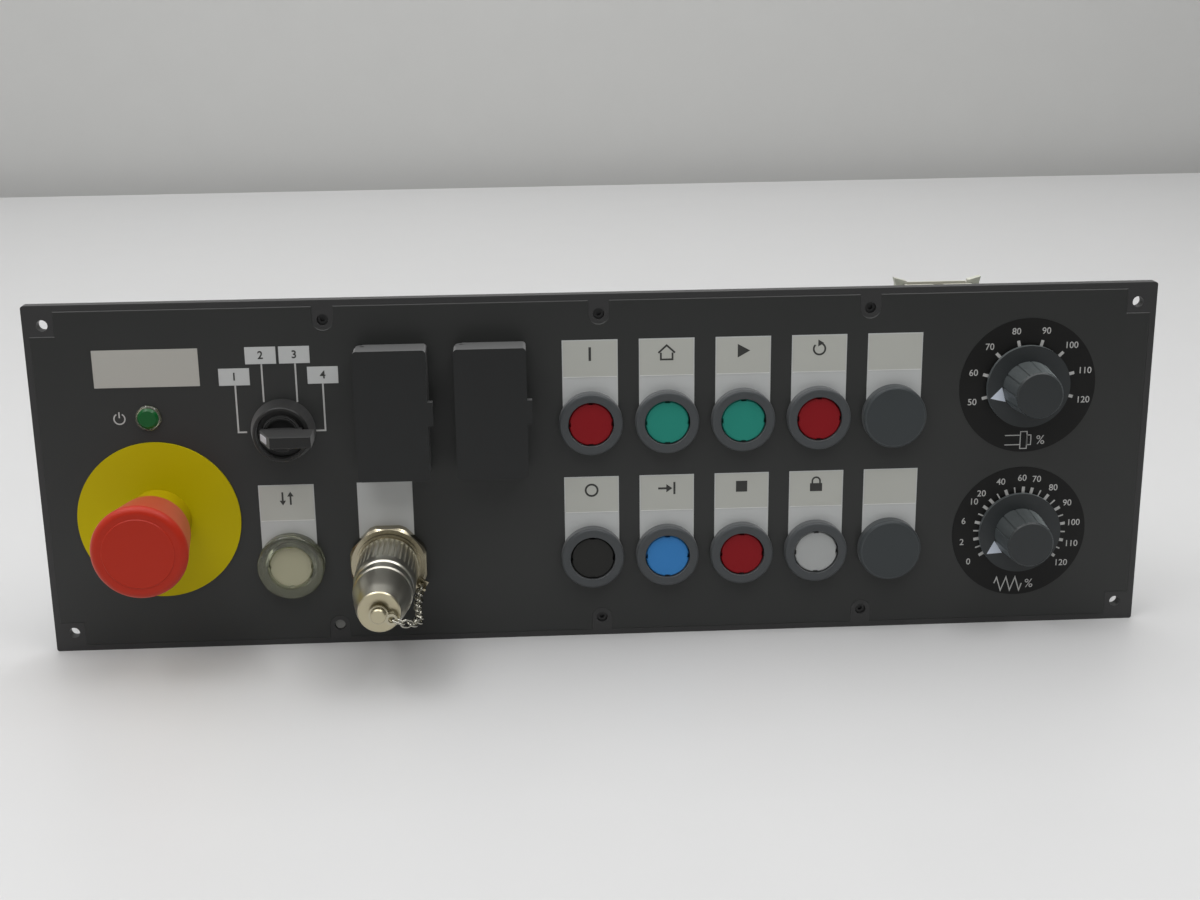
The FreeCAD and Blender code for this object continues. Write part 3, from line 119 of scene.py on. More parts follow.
# A moulded, painted or metal surface with slow changes of tone and gloss and a fine grain.
def surface(name, colour, **changes):
    look = {**plainLook, **changes}
    made = bpy.data.materials.new(name)
    made.use_nodes = True
    tree = made.node_tree
    shaders = [tree.nodes["Principled BSDF"]]
    start = Signal(tree)
    # Upward faces mix in a second shader with more sheen, a painted highlight that makes tops lighter as if lit from
    # above.
    if look["dust"]:
        shaders.append(tree.nodes.new("ShaderNodeBsdfPrincipled"))
        facing = start.node("ShaderNodeTexCoord", output="Normal")
        upward = start.node("ShaderNodeSeparateXYZ", inputs={0: facing}, output=2)
        blend = tree.nodes.new("ShaderNodeMixShader")
        tree.links.new(start.work("MAXIMUM", upward, 0.0).socket, blend.inputs[0])
        for number, shader in enumerate(shaders):
            tree.links.new(shader.outputs[0], blend.inputs[1 + number])
        tree.links.new(blend.outputs[0], tree.nodes["Material Output"].inputs["Surface"])
    place = start.node("ShaderNodeTexCoord", output="Object")
    slow = start.node("ShaderNodeTexNoise", inputs={"Vector": place, "Scale": look["cloud"],
                                                    "Detail": look["cloudDetail"]})
    base = linear(colour)
    tone = 1 + (slow - 0.5) * (2 * look["spread"])
    along = start.node("ShaderNodeSeparateXYZ", inputs={0: place}, output=1)
    # A wide surface can be painted darker from one distance to another, a painted shade.
    if look["paintedShade"]:
        near, far, least = look["paintedShade"]
        tone = tone * start.node("ShaderNodeMapRange", {"interpolation_type": "SMOOTHSTEP"},
                                 {"Value": along, "From Min": far, "From Max": near, "To Min": least, "To Max": 1.0})
    tinted = start.node("ShaderNodeVectorMath", {"operation": "SCALE"}, {0: base, "Scale": tone})
    # A turned piece's front end is tinted warmer, a painted reflection of the warm room.
    if look["tip"]:
        begin, full, tipColour = look["tip"]
        share = start.node("ShaderNodeMapRange", inputs={"Value": along, "From Min": begin, "From Max": full})
        sides, tip = [start.node("ShaderNodeVectorMath", {"operation": "SCALE"}, {0: part, "Scale": tone * amount})
                      for part, amount in ((base, 1 - share), (linear(tipColour), share))]
        tinted = start.node("ShaderNodeVectorMath", {"operation": "ADD"}, {0: sides, 1: tip})
    rough = look["rough"] + (slow - 0.5) * look["roughSpread"]
    drawn = start.node("ShaderNodeMapping", inputs={"Vector": place, "Scale": look["stretch"]})
    fine = start.node("ShaderNodeTexNoise", inputs={"Vector": drawn, "Scale": look["grain"],
                                                    "Detail": look["grainDetail"]})
    raised = start.node("ShaderNodeBump", inputs={"Height": fine, "Strength": look["bump"],
                                                  "Distance": look["depth"]})
    for shader, kind in zip(shaders, (("sheen", "sheenTint"), ("dust", "dustTint"))):
        tree.links.new(tinted.socket, shader.inputs["Base Color"])
        tree.links.new(rough.socket, shader.inputs["Roughness"])
        tree.links.new(raised.socket, shader.inputs["Normal"])
        shader.inputs["Metallic"].default_value = look["metal"]
        shader.inputs["Coat Weight"].default_value = look["coat"]
        shader.inputs["Coat Roughness"].default_value = look["coatRough"]
        shader.inputs["Specular IOR Level"].default_value = look["specular"]
        shader.inputs["Transmission Weight"].default_value = look["clear"]
        shader.inputs["Sheen Weight"].default_value = look[kind[0]]
        shader.inputs["Sheen Tint"].default_value = (*look[kind[1]], 1.0)
    materials[name] = made


turnedLines = {"stretch": (0.05, 4.0, 0.05), "grain": 700.0, "bump": 0.06}
surface("plate", (48, 48, 48), rough=0.5, grain=1500)
surface("film", (48, 49, 48), rough=0.38, spread=0.05, grain=2200, bump=0.06, specular=0.35)
surface("black_steel", (34, 34, 34), rough=0.35)
surface("paleSteel", (134, 134, 131), rough=0.45, spread=0.1, cloud=900)
surface("rail", (170, 170, 166), metal=1.0, rough=0.42, spread=0.1, cloud=60)
surface("board", (24, 92, 58), rough=0.35, coat=0.3, spread=0.12, cloud=30)
surface("bright_steel", (190, 190, 186), metal=1.0, rough=0.3)
surface("label", (194, 196, 195), rough=0.5, spread=0.02)
surface("name_plate", (180, 179, 172), rough=0.55, spread=0.02)
surface("tape", (186, 187, 180), rough=0.42, spread=0.02)
surface("scale", (16, 16, 15), rough=0.5, specular=0.3)
surface("black_plastic", (32, 32, 32), rough=0.5)
surface("element", (112, 116, 118), rough=0.5)
# Extra sheen on upward faces, set below for bezel, plug, red, cover and knob, is a painted highlight.
surface("bezel", (68, 71, 73), rough=0.45, grain=1800, bump=0.08, specular=0.4, sheen=0.03, dust=0.36)
surface("plug", (52, 57, 59), rough=0.45, grain=1800, bump=0.08, specular=0.4, sheen=0.1, dust=0.2)
# Paler plug plastic for the ring on the plugs' rounded edges, a painted highlight.
surface("plugHighlight", (61, 66, 68), rough=0.4)
surface("clear_ring", (194, 197, 170), rough=0.16, clear=0.87, bump=0.02)
surface("clear_lens", (173, 171, 145), rough=0.45, spread=0.02, specular=0.3)
surface("red_lens", (138, 14, 23), rough=0.5, spread=0.03, specular=0.22)
surface("green_lens", (36, 138, 122), rough=0.5, spread=0.03, specular=0.22)
surface("black_lens", (36, 36, 34), rough=0.5, spread=0.03, specular=0.3)
surface("blue_lens", (56, 128, 194), rough=0.5, spread=0.03, specular=0.22)
surface("white_lens", (172, 174, 173), rough=0.5, spread=0.02, specular=0.3)
surface("lamp_green", (6, 88, 36), rough=0.3, coat=0.1, specular=0.3)
surface("yellow", (193, 177, 0), rough=0.5, spread=0.03, specular=0.15)
# A darker copy of the yellow for the e-stop's collar, painted shade.
surface("collar", (171, 151, 3), rough=0.5, spread=0.03, specular=0.15)
surface("red", (178, 36, 10), rough=0.42, spread=0.03, grain=1500, bump=0.05, specular=0.28, sheen=0.25,
        sheenTint=(1.0, 0.4, 0.24), dust=0.27, dustTint=(1.0, 0.72, 0.6))
surface("selector", (20, 20, 19), rough=0.42, specular=0.4, sheen=0.25)
# A paler copy of the selector plastic for its raised ring, a painted highlight.
surface("selectorLitEdge", (84, 84, 83), rough=0.4, sheen=0.3)
surface("marker", (206, 206, 210), rough=0.45, spread=0.02)
surface("cover", (37, 38, 38), rough=0.45, grain=1600, bump=0.05, specular=0.3, sheen=0.05, dust=0.62)
surface("socket", (176, 176, 172), metal=1.0, rough=0.3)
surface("jack", (30, 30, 30), rough=0.45)
surface("nickel", (191, 185, 163), metal=1.0, rough=0.31, spread=0.03, cloud=120, roughSpread=0.06, **turnedLines)
# The cap's front end is tinted warmer, a painted reflection.
surface("capMetal", (228, 225, 212), metal=1.0, rough=0.31, spread=0.03, cloud=120, roughSpread=0.06,
        tip=(-0.0655, -0.0664, (191, 183, 156)), **turnedLines)
surface("nutMetal", (172, 164, 142), metal=1.0, rough=0.2, spread=0.08, cloud=90, roughSpread=0.1, **turnedLines)
surface("chainMetal", (172, 170, 160), metal=1.0, rough=0.2, spread=0.03)
surface("knob", (42, 45, 46), rough=0.42, grain=1600, bump=0.06, specular=0.4, sheen=0.16,
        sheenTint=(0.82, 0.95, 1.0), dust=0.5, dustTint=(0.9, 1.0, 1.0))
surface("header", (184, 184, 172), rough=0.5)
surface("contact", (214, 176, 96), metal=1.0, rough=0.25)
surface("ink", (52, 52, 50), rough=0.6, spread=0.02)
surface("whiteInk", (186, 186, 184), rough=0.6, spread=0.02)
surface("pointer", (206, 214, 226), rough=0.5, spread=0.02)
# Brighter than the tape, a painted highlight on the tapes' cut edges.
surface("tapeHighlight", (222, 223, 220), rough=0.5, spread=0.0)
# A little darker than the film, painted shade on the film's sloped cut edge.
surface("filmEdge", (44, 45, 44), rough=0.5, spread=0.02)
surface("solder", (190, 190, 188), metal=1.0, rough=0.28)
surface("track", (34, 116, 74), rough=0.35, coat=0.3)
for row in frame["record"]["subparts"]:
    mesh = nodes[row["node"]].data
    mesh.materials.clear()
    mesh.materials.append(materials[row["material_slot"]])
# The e-stop's collar gets the darker copy of the yellow, painted shade.
for name, look in (("connector_nut", "nutMetal"), ("chain_ring", "nutMetal"), ("estop_collar", "collar")):
    nodes[name].data.materials[0] = materials[look]
print("surfaces made:", len(materials))

millimetre = 0.001
mergeGap = 0.000005
mitreLeast = 0.3
sharpEdge = 28.0
ringPoints = 64


# A point on the panel in metres from millimetres across, up and out in front of the plate's rear face.
def spot(x, z, out):
    return Vector((x, -out, z)) * millimetre


# A finished mesh becomes a piece that moves with a body and has one of the part's finishes.
def addPiece(name, shape, material, body):
    bmesh.ops.recalc_face_normals(shape, faces=shape.faces[:])
    mesh = bpy.data.meshes.new(name)
    shape.to_mesh(mesh)
    shape.free()
    mesh.materials.append(materials[material])
    made = bpy.data.objects.new(name, mesh)
    bpy.context.scene.collection.objects.link(made)
    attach(made, body)
    return made


# Rows of points from outlines that each lie at their own level.
def rowsOf(shape, outlines):
    return [[shape.verts.new(spot(x, z, out)) for x, z in points] for points, out in outlines]


# One row of points that each have their own level.
def sectionRow(shape, edges):
    return [shape.verts.new(spot(x, z, out)) for (x, z), out in edges]


# Bands of faces from each row to the next, and from the last one to the first where they close.
def joinRows(shape, rows, closed=False):
    for first, second in zip(rows, rows[1:] + rows[:1] if closed else rows[1:]):
        count = len(first)
        for number in range(count):
            after = (number + 1) % count
            shape.faces.new((first[number], second[number], second[after], first[after]))


# A flat piece of any outline, from one level out to another.
def prism(shape, points, low, high):
    rows = rowsOf(shape, [(points, high), (points, low)])
    shape.faces.new(rows[0])
    shape.faces.new(rows[1][::-1])
    joinRows(shape, rows)


def bar(shape, left, right, bottom, top, low, high):
    prism(shape, [(left, bottom), (right, bottom), (right, top), (left, top)], low, high)


# The step aside at a bend between two steps, longer where the bend is sharper.
def mitre(steps):
    normals = [Vector((-step.y, step.x)) for step in steps]
    across = sum(normals, Vector((0, 0))).normalized()
    return across / max(mitreLeast, across.dot(normals[0]))


# A line of even width along some points, with mitred corners.
def stroke(shape, points, width, low, high, closed=False):
    count = len(points)
    spots = [Vector(point) for point in points]
    rows = []
    for number, here in enumerate(spots):
        steps = []
        if closed or number:
            steps.append((here - spots[number - 1]).normalized())
        if closed or number < count - 1:
            steps.append((spots[(number + 1) % count] - here).normalized())
        reach = mitre(steps) * (width / 2)
        rows.append(sectionRow(shape, ((here + reach, high), (here - reach, high), (here - reach, low),
                                       (here + reach, low))))
    joinRows(shape, rows, closed)
    if not closed:
        shape.faces.new(rows[0][::-1])
        shape.faces.new(rows[-1])


# Points on a circle, or on an arc with its ends, by angles in degrees.
def around(x, z, radius, start=0.0, sweep=360.0, count=40):
    share = count if abs(sweep) >= 360 else count - 1
    turns = [math.radians(start + sweep * number / share) for number in range(count)]
    return [(x + radius * math.cos(turn), z + radius * math.sin(turn)) for turn in turns]


def turnedRows(shape, x, z, profile, count):
    return rowsOf(shape, [(around(x, z, radius, count=count), out) for radius, out in profile])


# A round piece along the panel's depth, from a list of (radius, distance out) points.
def lathe(shape, x, z, profile, count):
    rows = turnedRows(shape, x, z, profile, count)
    joinRows(shape, rows)
    shape.faces.new(rows[0])
    shape.faces.new(rows[-1])


# A ring along the panel's depth, from a closed list of (radius, distance out) points.
def ring(shape, x, z, profile):
    joinRows(shape, turnedRows(shape, x, z, profile, ringPoints), closed=True)


# A screw head with a slot: a low disc and two half discs on it.
headSlot = {"gap": 9, "sweep": 162, "points": 14, "roundPoints": 24}


def slottedHead(shape, x, z, radius, low, high, aim):
    seat = (low + high) / 2
    lathe(shape, x, z, [(radius, low), (radius, seat)], headSlot["roundPoints"])
    for side in (0, 180):
        half = around(x, z, radius, aim + side + headSlot["gap"], headSlot["sweep"], headSlot["points"])
        prism(shape, half, min(seat, high), max(seat, high))


# Plain figures as a thin raised print.
figureCurve = {"sizeToTall": 1.4, "resolution": 4}


def figures(shape, text, x, z, tall, low, high, weight):
    curve = bpy.data.curves.new("figures", "FONT")
    curve.body = text
    curve.align_x = "CENTER"
    curve.align_y = "CENTER"
    curve.size = tall * figureCurve["sizeToTall"]
    curve.offset = weight
    curve.extrude = (high - low) / 2
    curve.resolution_u = figureCurve["resolution"]
    holder = bpy.data.objects.new("figures", curve)
    bpy.context.scene.collection.objects.link(holder)
    bpy.context.view_layer.update()
    mesh = bpy.data.meshes.new_from_object(holder.evaluated_get(bpy.context.evaluated_depsgraph_get()))
    stand = Matrix.Translation(spot(x, z, (low + high) / 2)) @ Matrix.Rotation(math.pi / 2, 4, "X")
    mesh.transform(stand @ Matrix.Scale(millimetre, 4))
    shape.from_mesh(mesh)
    bpy.data.objects.remove(holder)
    bpy.data.curves.remove(curve)
    bpy.data.meshes.remove(mesh)


# A copy of a solid's mesh with its double points merged.
def mergedCopy(node):
    shape = bmesh.new()
    shape.from_mesh(nodes[node].data)
    bmesh.ops.remove_doubles(shape, verts=shape.verts[:], dist=mergeGap)
    return shape


# A merged copy of a turned solid with its points moved to another distance from its middle and out.
def reshaped(name, node, x, z, change, material, body):
    shape = mergedCopy(node)
    for corner in shape.verts:
        across, rise = corner.co.x / millimetre - x, corner.co.z / millimetre - z
        radius, out = math.hypot(across, rise), -corner.co.y / millimetre
        reach, forward = change(radius, out, math.degrees(math.atan2(rise, across)))
        if (reach, forward) != (radius, out):
            corner.co = spot(x + across * reach / radius, z + rise * reach / radius, forward)
    for face in shape.faces:
        face.smooth = True
    for edge in shape.edges:
        edge.smooth = edge.calc_face_angle(0.0) < math.radians(sharpEdge)
    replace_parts(addPiece(name, shape, material, body), node)


level = {"film": 5.25, "label": 5.4, "tape": 5.5, "skirt": 8.0, "ink": 0.03}
grid = {"left": -4.0, "pitch": 33.0, "top": 21.4, "bottom": -39.6, "tagColumn": -136.5}
columns = [grid["left"] + grid["pitch"] * number for number in range(5)]


# A thin print of bars, filled outlines, lines and closed lines, given about its own middle.
def drawSign(shape, sign, x, z, low):
    def placed(points):
        return [(x + across, z + rise) for across, rise in points]

    high = low + level["ink"]
    for left, right, bottom, top in sign.get("bars", ()):
        bar(shape, x + left, x + right, z + bottom, z + top, low, high)
    for points in sign.get("fills", ()):
        prism(shape, placed(points), low, high)
    for kind in ("lines", "loops"):
        for points in sign.get(kind, ()):
            stroke(shape, placed(points), sign["width"], low, high, closed=kind == "loops")


# Dial prints: ticks and plain figures round each knob, and a plain sign with a percent mark below.
dials = {"x": 186.8, "figureRadius": 25.4, "figureTall": 2.9, "weight": 0.02, "tickInner": 16.6, "tickOuter": 20.8,
         "wide": 1.35, "thin": 0.6, "shiftX": 0.3, "percentTall": 4.1}
spindleDial = {"z": 33.0, "start": 195.0, "step": -30.0, "nudge": (0.2, -0.4), "aside": {},
               "figures": ["50", "60", "70", "80", "90", "100", "110", "120"],
               "sign": {"width": 0.42, "lines": [[(-8.9, rise), (-2.2, rise)] for rise in (-22.4, -26.7)],
                        "loops": [[(-2.0, -28.5), (0.9, -28.5), (0.9, -20.8), (-2.0, -20.8)],
                                  [(1.0, -26.8), (2.7, -26.8), (2.7, -22.4), (1.0, -22.4)]]},
               "percent": (7.0, -24.9), "pointerAim": 196.0, "firstGroove": 0, "body": "spindle_override"}
feedDial = {"z": -34.0, "start": 211.5, "step": -11.25, "nudge": (-0.7, -0.6), "aside": {"60": -0.3, "70": 1.3},
            "figures": ["0", "", "2", "", "6", "", "10", "20", "", "40", "", "60", "70", "", "80", "", "90", "", "100",
                        "", "110", "", "120"],
            "sign": {"width": 0.5, "lines": [[(-10.1, -24.5), (-9.0, -21.7), (-7.0, -27.9), (-4.7, -21.7),
                                              (-2.8, -28.0), (-0.6, -21.8), (1.4, -28.1), (2.5, -24.8)]]},
            "percent": (5.8, -25.1), "pointerAim": 213.0, "firstGroove": 1, "body": "feed_override"}


def dialPrint(name, dial):
    shape = bmesh.new()
    x, z = dials["x"] + dials["shiftX"], dial["z"]
    low, high = level["label"], level["label"] + level["ink"]
    for number, text in enumerate(dial["figures"]):
        turn = math.radians(dial["start"] + dial["step"] * number)
        aim = Vector((math.cos(turn), math.sin(turn)))
        ends = [(x + aim.x * radius, z + aim.y * radius) for radius in (dials["tickInner"], dials["tickOuter"])]
        stroke(shape, ends, dials["wide"] if text else dials["thin"], low, high)
        if text:
            middle = aim * dials["figureRadius"] + Vector(dial["nudge"])
            middle.x += dial["aside"].get(text, 0.0)
            figures(shape, text, x + middle.x, z + middle.y, dials["figureTall"], low, high, dials["weight"])
    drawSign(shape, dial["sign"], x, z, low)
    across, rise = dial["percent"]
    figures(shape, "%", x + across, z + rise, dials["percentTall"], low, high, 0.0)
    addPiece(name, shape, "whiteInk", "panel")


dialPrint("spindlePrint", spindleDial)
dialPrint("feedPrint", feedDial)

# White pointers on the knobs' skirts.
pointer = {"tip": 17.4, "base": 11.4, "half": 3.4}


def pointerPiece(name, dial):
    shape = bmesh.new()
    turn = math.radians(dial["pointerAim"])
    ahead = Vector((math.cos(turn), math.sin(turn)))
    aside = Vector((-ahead.y, ahead.x))
    middle = Vector((dials["x"], dial["z"]))
    corners = [ahead * pointer["tip"], ahead * pointer["base"] + aside * pointer["half"],
               ahead * pointer["base"] - aside * pointer["half"]]
    prism(shape, [middle + corner for corner in corners], level["skirt"], level["skirt"] + level["ink"])
    addPiece(name, shape, "pointer", dial["body"])


pointerPiece("spindlePointer", spindleDial)
pointerPiece("feedPointer", feedDial)

# The grips are a little slimmer than the solids, and only every second groove shows, as a fine line.
grip = {"rear": 8.0, "edgeOut": 23.45, "front": 24.25, "floor": 10.356, "base": 11.9, "face": 9.9,
        "newBase": 11.4, "newEdge": 10.2, "newFace": 9.55, "line": 0.25, "turn": 15.0, "each": 2,
        "floorNear": 0.03, "edgeNear": 0.01, "rearNear": 0.05, "slack": 0.1, "edgeDeep": 1.0}


# Where a point of the grip goes: its new distance from the knob's middle and out.
def gripPoint(radius, out, depth):
    if abs(radius - grip["floor"]) < grip["floorNear"]:
        if out < grip["edgeOut"] - grip["edgeDeep"]:
            return grip["newBase"] - depth, grip["rear"]
        return grip["newEdge"] - depth, grip["edgeOut"] + depth
    if out > grip["edgeOut"] + grip["edgeNear"]:
        share = (out - grip["edgeOut"]) / (grip["front"] - grip["edgeOut"])
        return grip["newEdge"] + (grip["newFace"] - grip["newEdge"]) * share, out
    share = (out - grip["rear"]) / (grip["edgeOut"] - grip["rear"])
    return grip["newBase"] + (grip["newEdge"] - grip["newBase"]) * share, out


def knobPiece(name, node, dial):
    def change(radius, out, turn):
        inGrip = grip["face"] - grip["slack"] < radius < grip["base"] + grip["slack"]
        if out < grip["rear"] - grip["rearNear"] or not inGrip:
            return radius, out
        groove = round(turn / grip["turn"]) - dial["firstGroove"]
        return gripPoint(radius, out, 0.0 if groove % grip["each"] else grip["line"])

    reshaped(name, node, dials["x"], dial["z"], change, "knob", dial["body"])


knobPiece("spindleGrip", "spindle_knob", spindleDial)
knobPiece("feedGrip", "feed_knob", feedDial)
print("dials printed")

# Selector lines and plain position numbers.
selectorLines = {"width": 0.7, "lines": [[(-155.0, 41.5), (-155.0, 20.8), (-151.4, 20.8)],
                                         [(-143.4, 50.5), (-143.4, 33.9)], [(-129.2, 50.5), (-129.2, 33.6)],
                                         [(-118.0, 41.5), (-118.0, 20.8), (-122.0, 20.8)]]}
shape = bmesh.new()
drawSign(shape, selectorLines, 0.0, 0.0, level["film"])
addPiece("selectorLines", shape, "whiteInk", "panel")
selectorNumbers = {"tall": 3.4, "weight": 0.1,
                   "places": (("1", -18.7, 23.8), ("2", -7.1, 32.9), ("3", 7.1, 32.9), ("4", 18.7, 23.8))}
shape = bmesh.new()
for text, across, rise in selectorNumbers["places"]:
    figures(shape, text, grid["tagColumn"] + across, grid["top"] + rise, selectorNumbers["tall"], level["label"],
            level["label"] + level["ink"], selectorNumbers["weight"])
addPiece("selectorNumbers", shape, "ink", "panel")

# The raised ring on the selector's disc slopes outwards and is painted paler than the disc, a painted highlight where
# it catches the light.
bead = {"x": -136.0, "profile": [(8.1, 11.04), (8.0, 11.64), (7.0, 12.6), (7.0, 11.04)]}
shape = bmesh.new()
ring(shape, bead["x"], grid["top"], bead["profile"])
addPiece("selectorBead", shape, "selectorLitEdge", "selector")

# A plain on sign beside the lamp.
lampSign = {"x": -204.8, "z": 28.0, "width": 0.55, "lines": [around(0, 0, 2.3, 120, 300), [(0, 0.4), (0, 3.0)]]}
shape = bmesh.new()
drawSign(shape, lampSign, lampSign["x"], lampSign["z"], level["film"])
addPiece("lampSign", shape, "whiteInk", "panel")

# Plain pictograms on the label tapes, each drawn about its own middle.
onSign = {"bars": [(-0.55, 0.55, -3.0, 3.0)]}
homeSign = {"width": 0.8, "lines": [[(-3.6, -0.2), (0, 3.1), (3.6, -0.2)],
                                    [(-2.5, -0.1), (-2.5, -3.1), (2.5, -3.1), (2.5, -0.1)]]}
startSign = {"fills": [[(-2.4, -3.0), (3.0, 0), (-2.4, 3.0)]]}
resetSign = {"width": 0.8, "lines": [around(0, 0, 2.5, 60, -285)], "fills": [[(-0.6, 1.0), (1.9, 2.6), (-0.6, 4.1)]]}
offSign = {"width": 0.85, "loops": [around(0, 0, 2.6)]}
cycleSign = {"bars": [(-3.8, -0.2, -0.45, 0.45), (2.9, 3.8, -2.8, 2.8)],
             "fills": [[(-0.2, -1.9), (2.4, 0), (-0.2, 1.9)]]}
stopSign = {"bars": [(-2.5, 2.5, -2.5, 2.5)]}
doorSign = {"bars": [(-2.7, 2.7, -3.2, 0.5)], "width": 0.75,
            "lines": [[(-1.7, 0.5)] + around(0, 1.5, 1.7, 180, -180, 16) + [(1.7, 0.5)]]}
insertSign = {"bars": [(-2.1, -1.3, -0.9, 2.9), (1.3, 2.1, -2.9, 0.9)],
              "fills": [[(-3.1, -0.9), (-1.7, -3.1), (-0.3, -0.9)], [(0.3, 0.9), (1.7, 3.1), (3.1, 0.9)]]}
legendLift = 30.2
legends = [(onSign, columns[0], "top"), (homeSign, columns[1], "top"), (startSign, columns[2], "top"),
           (resetSign, columns[3], "top"), (offSign, columns[0], "bottom"), (cycleSign, columns[1], "bottom"),
           (stopSign, columns[2], "bottom"), (doorSign, columns[3], "bottom"),
           (insertSign, grid["tagColumn"], "bottom")]
shape = bmesh.new()
for sign, x, row in legends:
    drawSign(shape, sign, x, grid[row] + legendLift, level["tape"])
addPiece("legendSigns", shape, "ink", "panel")

# The cut lower edges of the tapes are strips painted brighter than the tape, a painted highlight.
tapeHighlight = {"low": 20.0, "tall": 0.34, "half": 11.5, "proud": 0.02}
shape = bmesh.new()
for x, row in [(x, row) for row in ("top", "bottom") for x in columns] + [(grid["tagColumn"], "bottom")]:
    foot = grid[row] + tapeHighlight["low"]
    bar(shape, x - tapeHighlight["half"], x + tapeHighlight["half"], foot, foot + tapeHighlight["tall"], level["label"],
        level["tape"] + tapeHighlight["proud"])
addPiece("tapeHighlights", shape, "tapeHighlight", "panel")
print("legends printed")

# The cap's two bands slope down at their front edges.
cap = {"x": -93.5, "z": -39.5, "band": 12.7, "bandNear": 0.02, "lower": 12.55, "edges": (39.5, 47.3),
       "edgeNear": 0.05, "back": 0.9}


def capChange(radius, out, turn):
    atEdge = min(abs(out - edge) for edge in cap["edges"]) < cap["edgeNear"]
    if atEdge and abs(radius - cap["band"]) < cap["bandNear"]:
        return cap["lower"], out - cap["back"]
    return radius, out


reshaped("capShell", "connector_cap", cap["x"], cap["z"], capChange, "capMetal", "cap")

# The chain's links get round wire from a merged copy of the solids.
chain = {"grow": 0.045, "levels": 2, "flat": 0.02, "skew": 3.1}
shape = mergedCopy("cap_chain")
bmesh.ops.join_triangles(shape, faces=shape.faces[:], angle_face_threshold=chain["flat"],
                         angle_shape_threshold=chain["skew"])
bmesh.ops.recalc_face_normals(shape, faces=shape.faces[:])
shape.normal_update()
for corner in shape.verts:
    corner.co += corner.normal * chain["grow"] * millimetre
for face in shape.faces:
    face.smooth = True
links = addPiece("chainLinks", shape, "chainMetal", "panel")
rounding = links.modifiers.new("rounding", "SUBSURF")
rounding.levels = chain["levels"]
rounding.render_levels = chain["levels"]
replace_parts(links, "cap_chain")

# The film's cut edge slopes down to the plate all round, corner notches and screw notches too, and is painted a little
# darker than the film, painted shade that tones down the light the slope catches.
edgeScrews = {"pitch": 116.65, "z": 69.0, "rows": (-1, 0, 1)}
filmEdge = {"wide": 0.3, "low": 5.0, "high": 5.26, "halfWide": 238.6, "halfTall": 74.6, "notchX": 228.3, "notchZ": 64.0,
            "screwNotch": 4.65, "notchPoints": 25}


# One long edge of the film from left to right, with its three screw notches.
def longEdge(side):
    path = [(-filmEdge["notchX"], side * filmEdge["halfTall"])]
    for number in edgeScrews["rows"]:
        x = number * edgeScrews["pitch"]
        path.append((x - filmEdge["screwNotch"], side * filmEdge["halfTall"]))
        path += around(x, side * edgeScrews["z"], filmEdge["screwNotch"], 180, side * 180, filmEdge["notchPoints"])
        path.append((x + filmEdge["screwNotch"], side * filmEdge["halfTall"]))
    return path + [(filmEdge["notchX"], side * filmEdge["halfTall"])]


corner = [(filmEdge["notchX"], filmEdge["notchZ"]), (filmEdge["halfWide"], filmEdge["notchZ"])]
path = longEdge(1) + corner + [(x, -z) for x, z in corner[::-1]] + longEdge(-1)[::-1]
path += [(-x, -z) for x, z in corner] + [(-x, z) for x, z in corner[::-1]]
path = [Vector(point) for point in path]
shape = bmesh.new()
rows = []
for number, here in enumerate(path):
    before, after = path[number - 1], path[(number + 1) % len(path)]
    outer = here + mitre([(here - before).normalized(), (after - here).normalized()]) * filmEdge["wide"]
    rows.append(sectionRow(shape, ((here, filmEdge["high"]), (outer, filmEdge["low"]), (here, filmEdge["low"]))))
joinRows(shape, rows, closed=True)
addPiece("filmEdge", shape, "filmEdge", "panel")

# Hexagon sockets in the edge screws.
hexagon = {"outer": 1.21, "flat": 0.98, "low": 2.42, "high": 3.68, "points": 24}
screwPlaces = [(number * edgeScrews["pitch"], side * edgeScrews["z"]) for number in edgeScrews["rows"]
               for side in (-1, 1)]
shape = bmesh.new()
for x, z in screwPlaces:
    outer = around(x, z, hexagon["outer"], count=hexagon["points"])
    inner = []
    for number in range(hexagon["points"]):
        turn = 360 / hexagon["points"] * number
        inner += around(x, z, hexagon["flat"] / math.cos(math.radians(turn % 60 - 30)), turn, count=1)
    joinRows(shape, rowsOf(shape, [(outer, hexagon["low"]), (outer, hexagon["high"]), (inner, hexagon["high"]),
                                   (inner, hexagon["low"])]), closed=True)
addPiece("hexSockets", shape, "black_steel", "panel")

# The lower left screw has a pale head.
paleHead = {"profile": [(2.2, 3.69), (2.2, 3.72)], "points": 32}
shape = bmesh.new()
lathe(shape, -edgeScrews["pitch"], -edgeScrews["z"], paleHead["profile"], paleHead["points"])
addPiece("paleHead", shape, "paleSteel", "panel")

# A paler ring on the blanking plugs' rounded edges is a painted highlight.
plugHighlight = [(13.2, 10.56), (12.9, 10.78), (12.6, 10.82), (12.6, 10.6)]
shape = bmesh.new()
for row in ("top", "bottom"):
    ring(shape, columns[4], grid[row], plugHighlight)
addPiece("plugHighlights", shape, "plugHighlight", "panel")

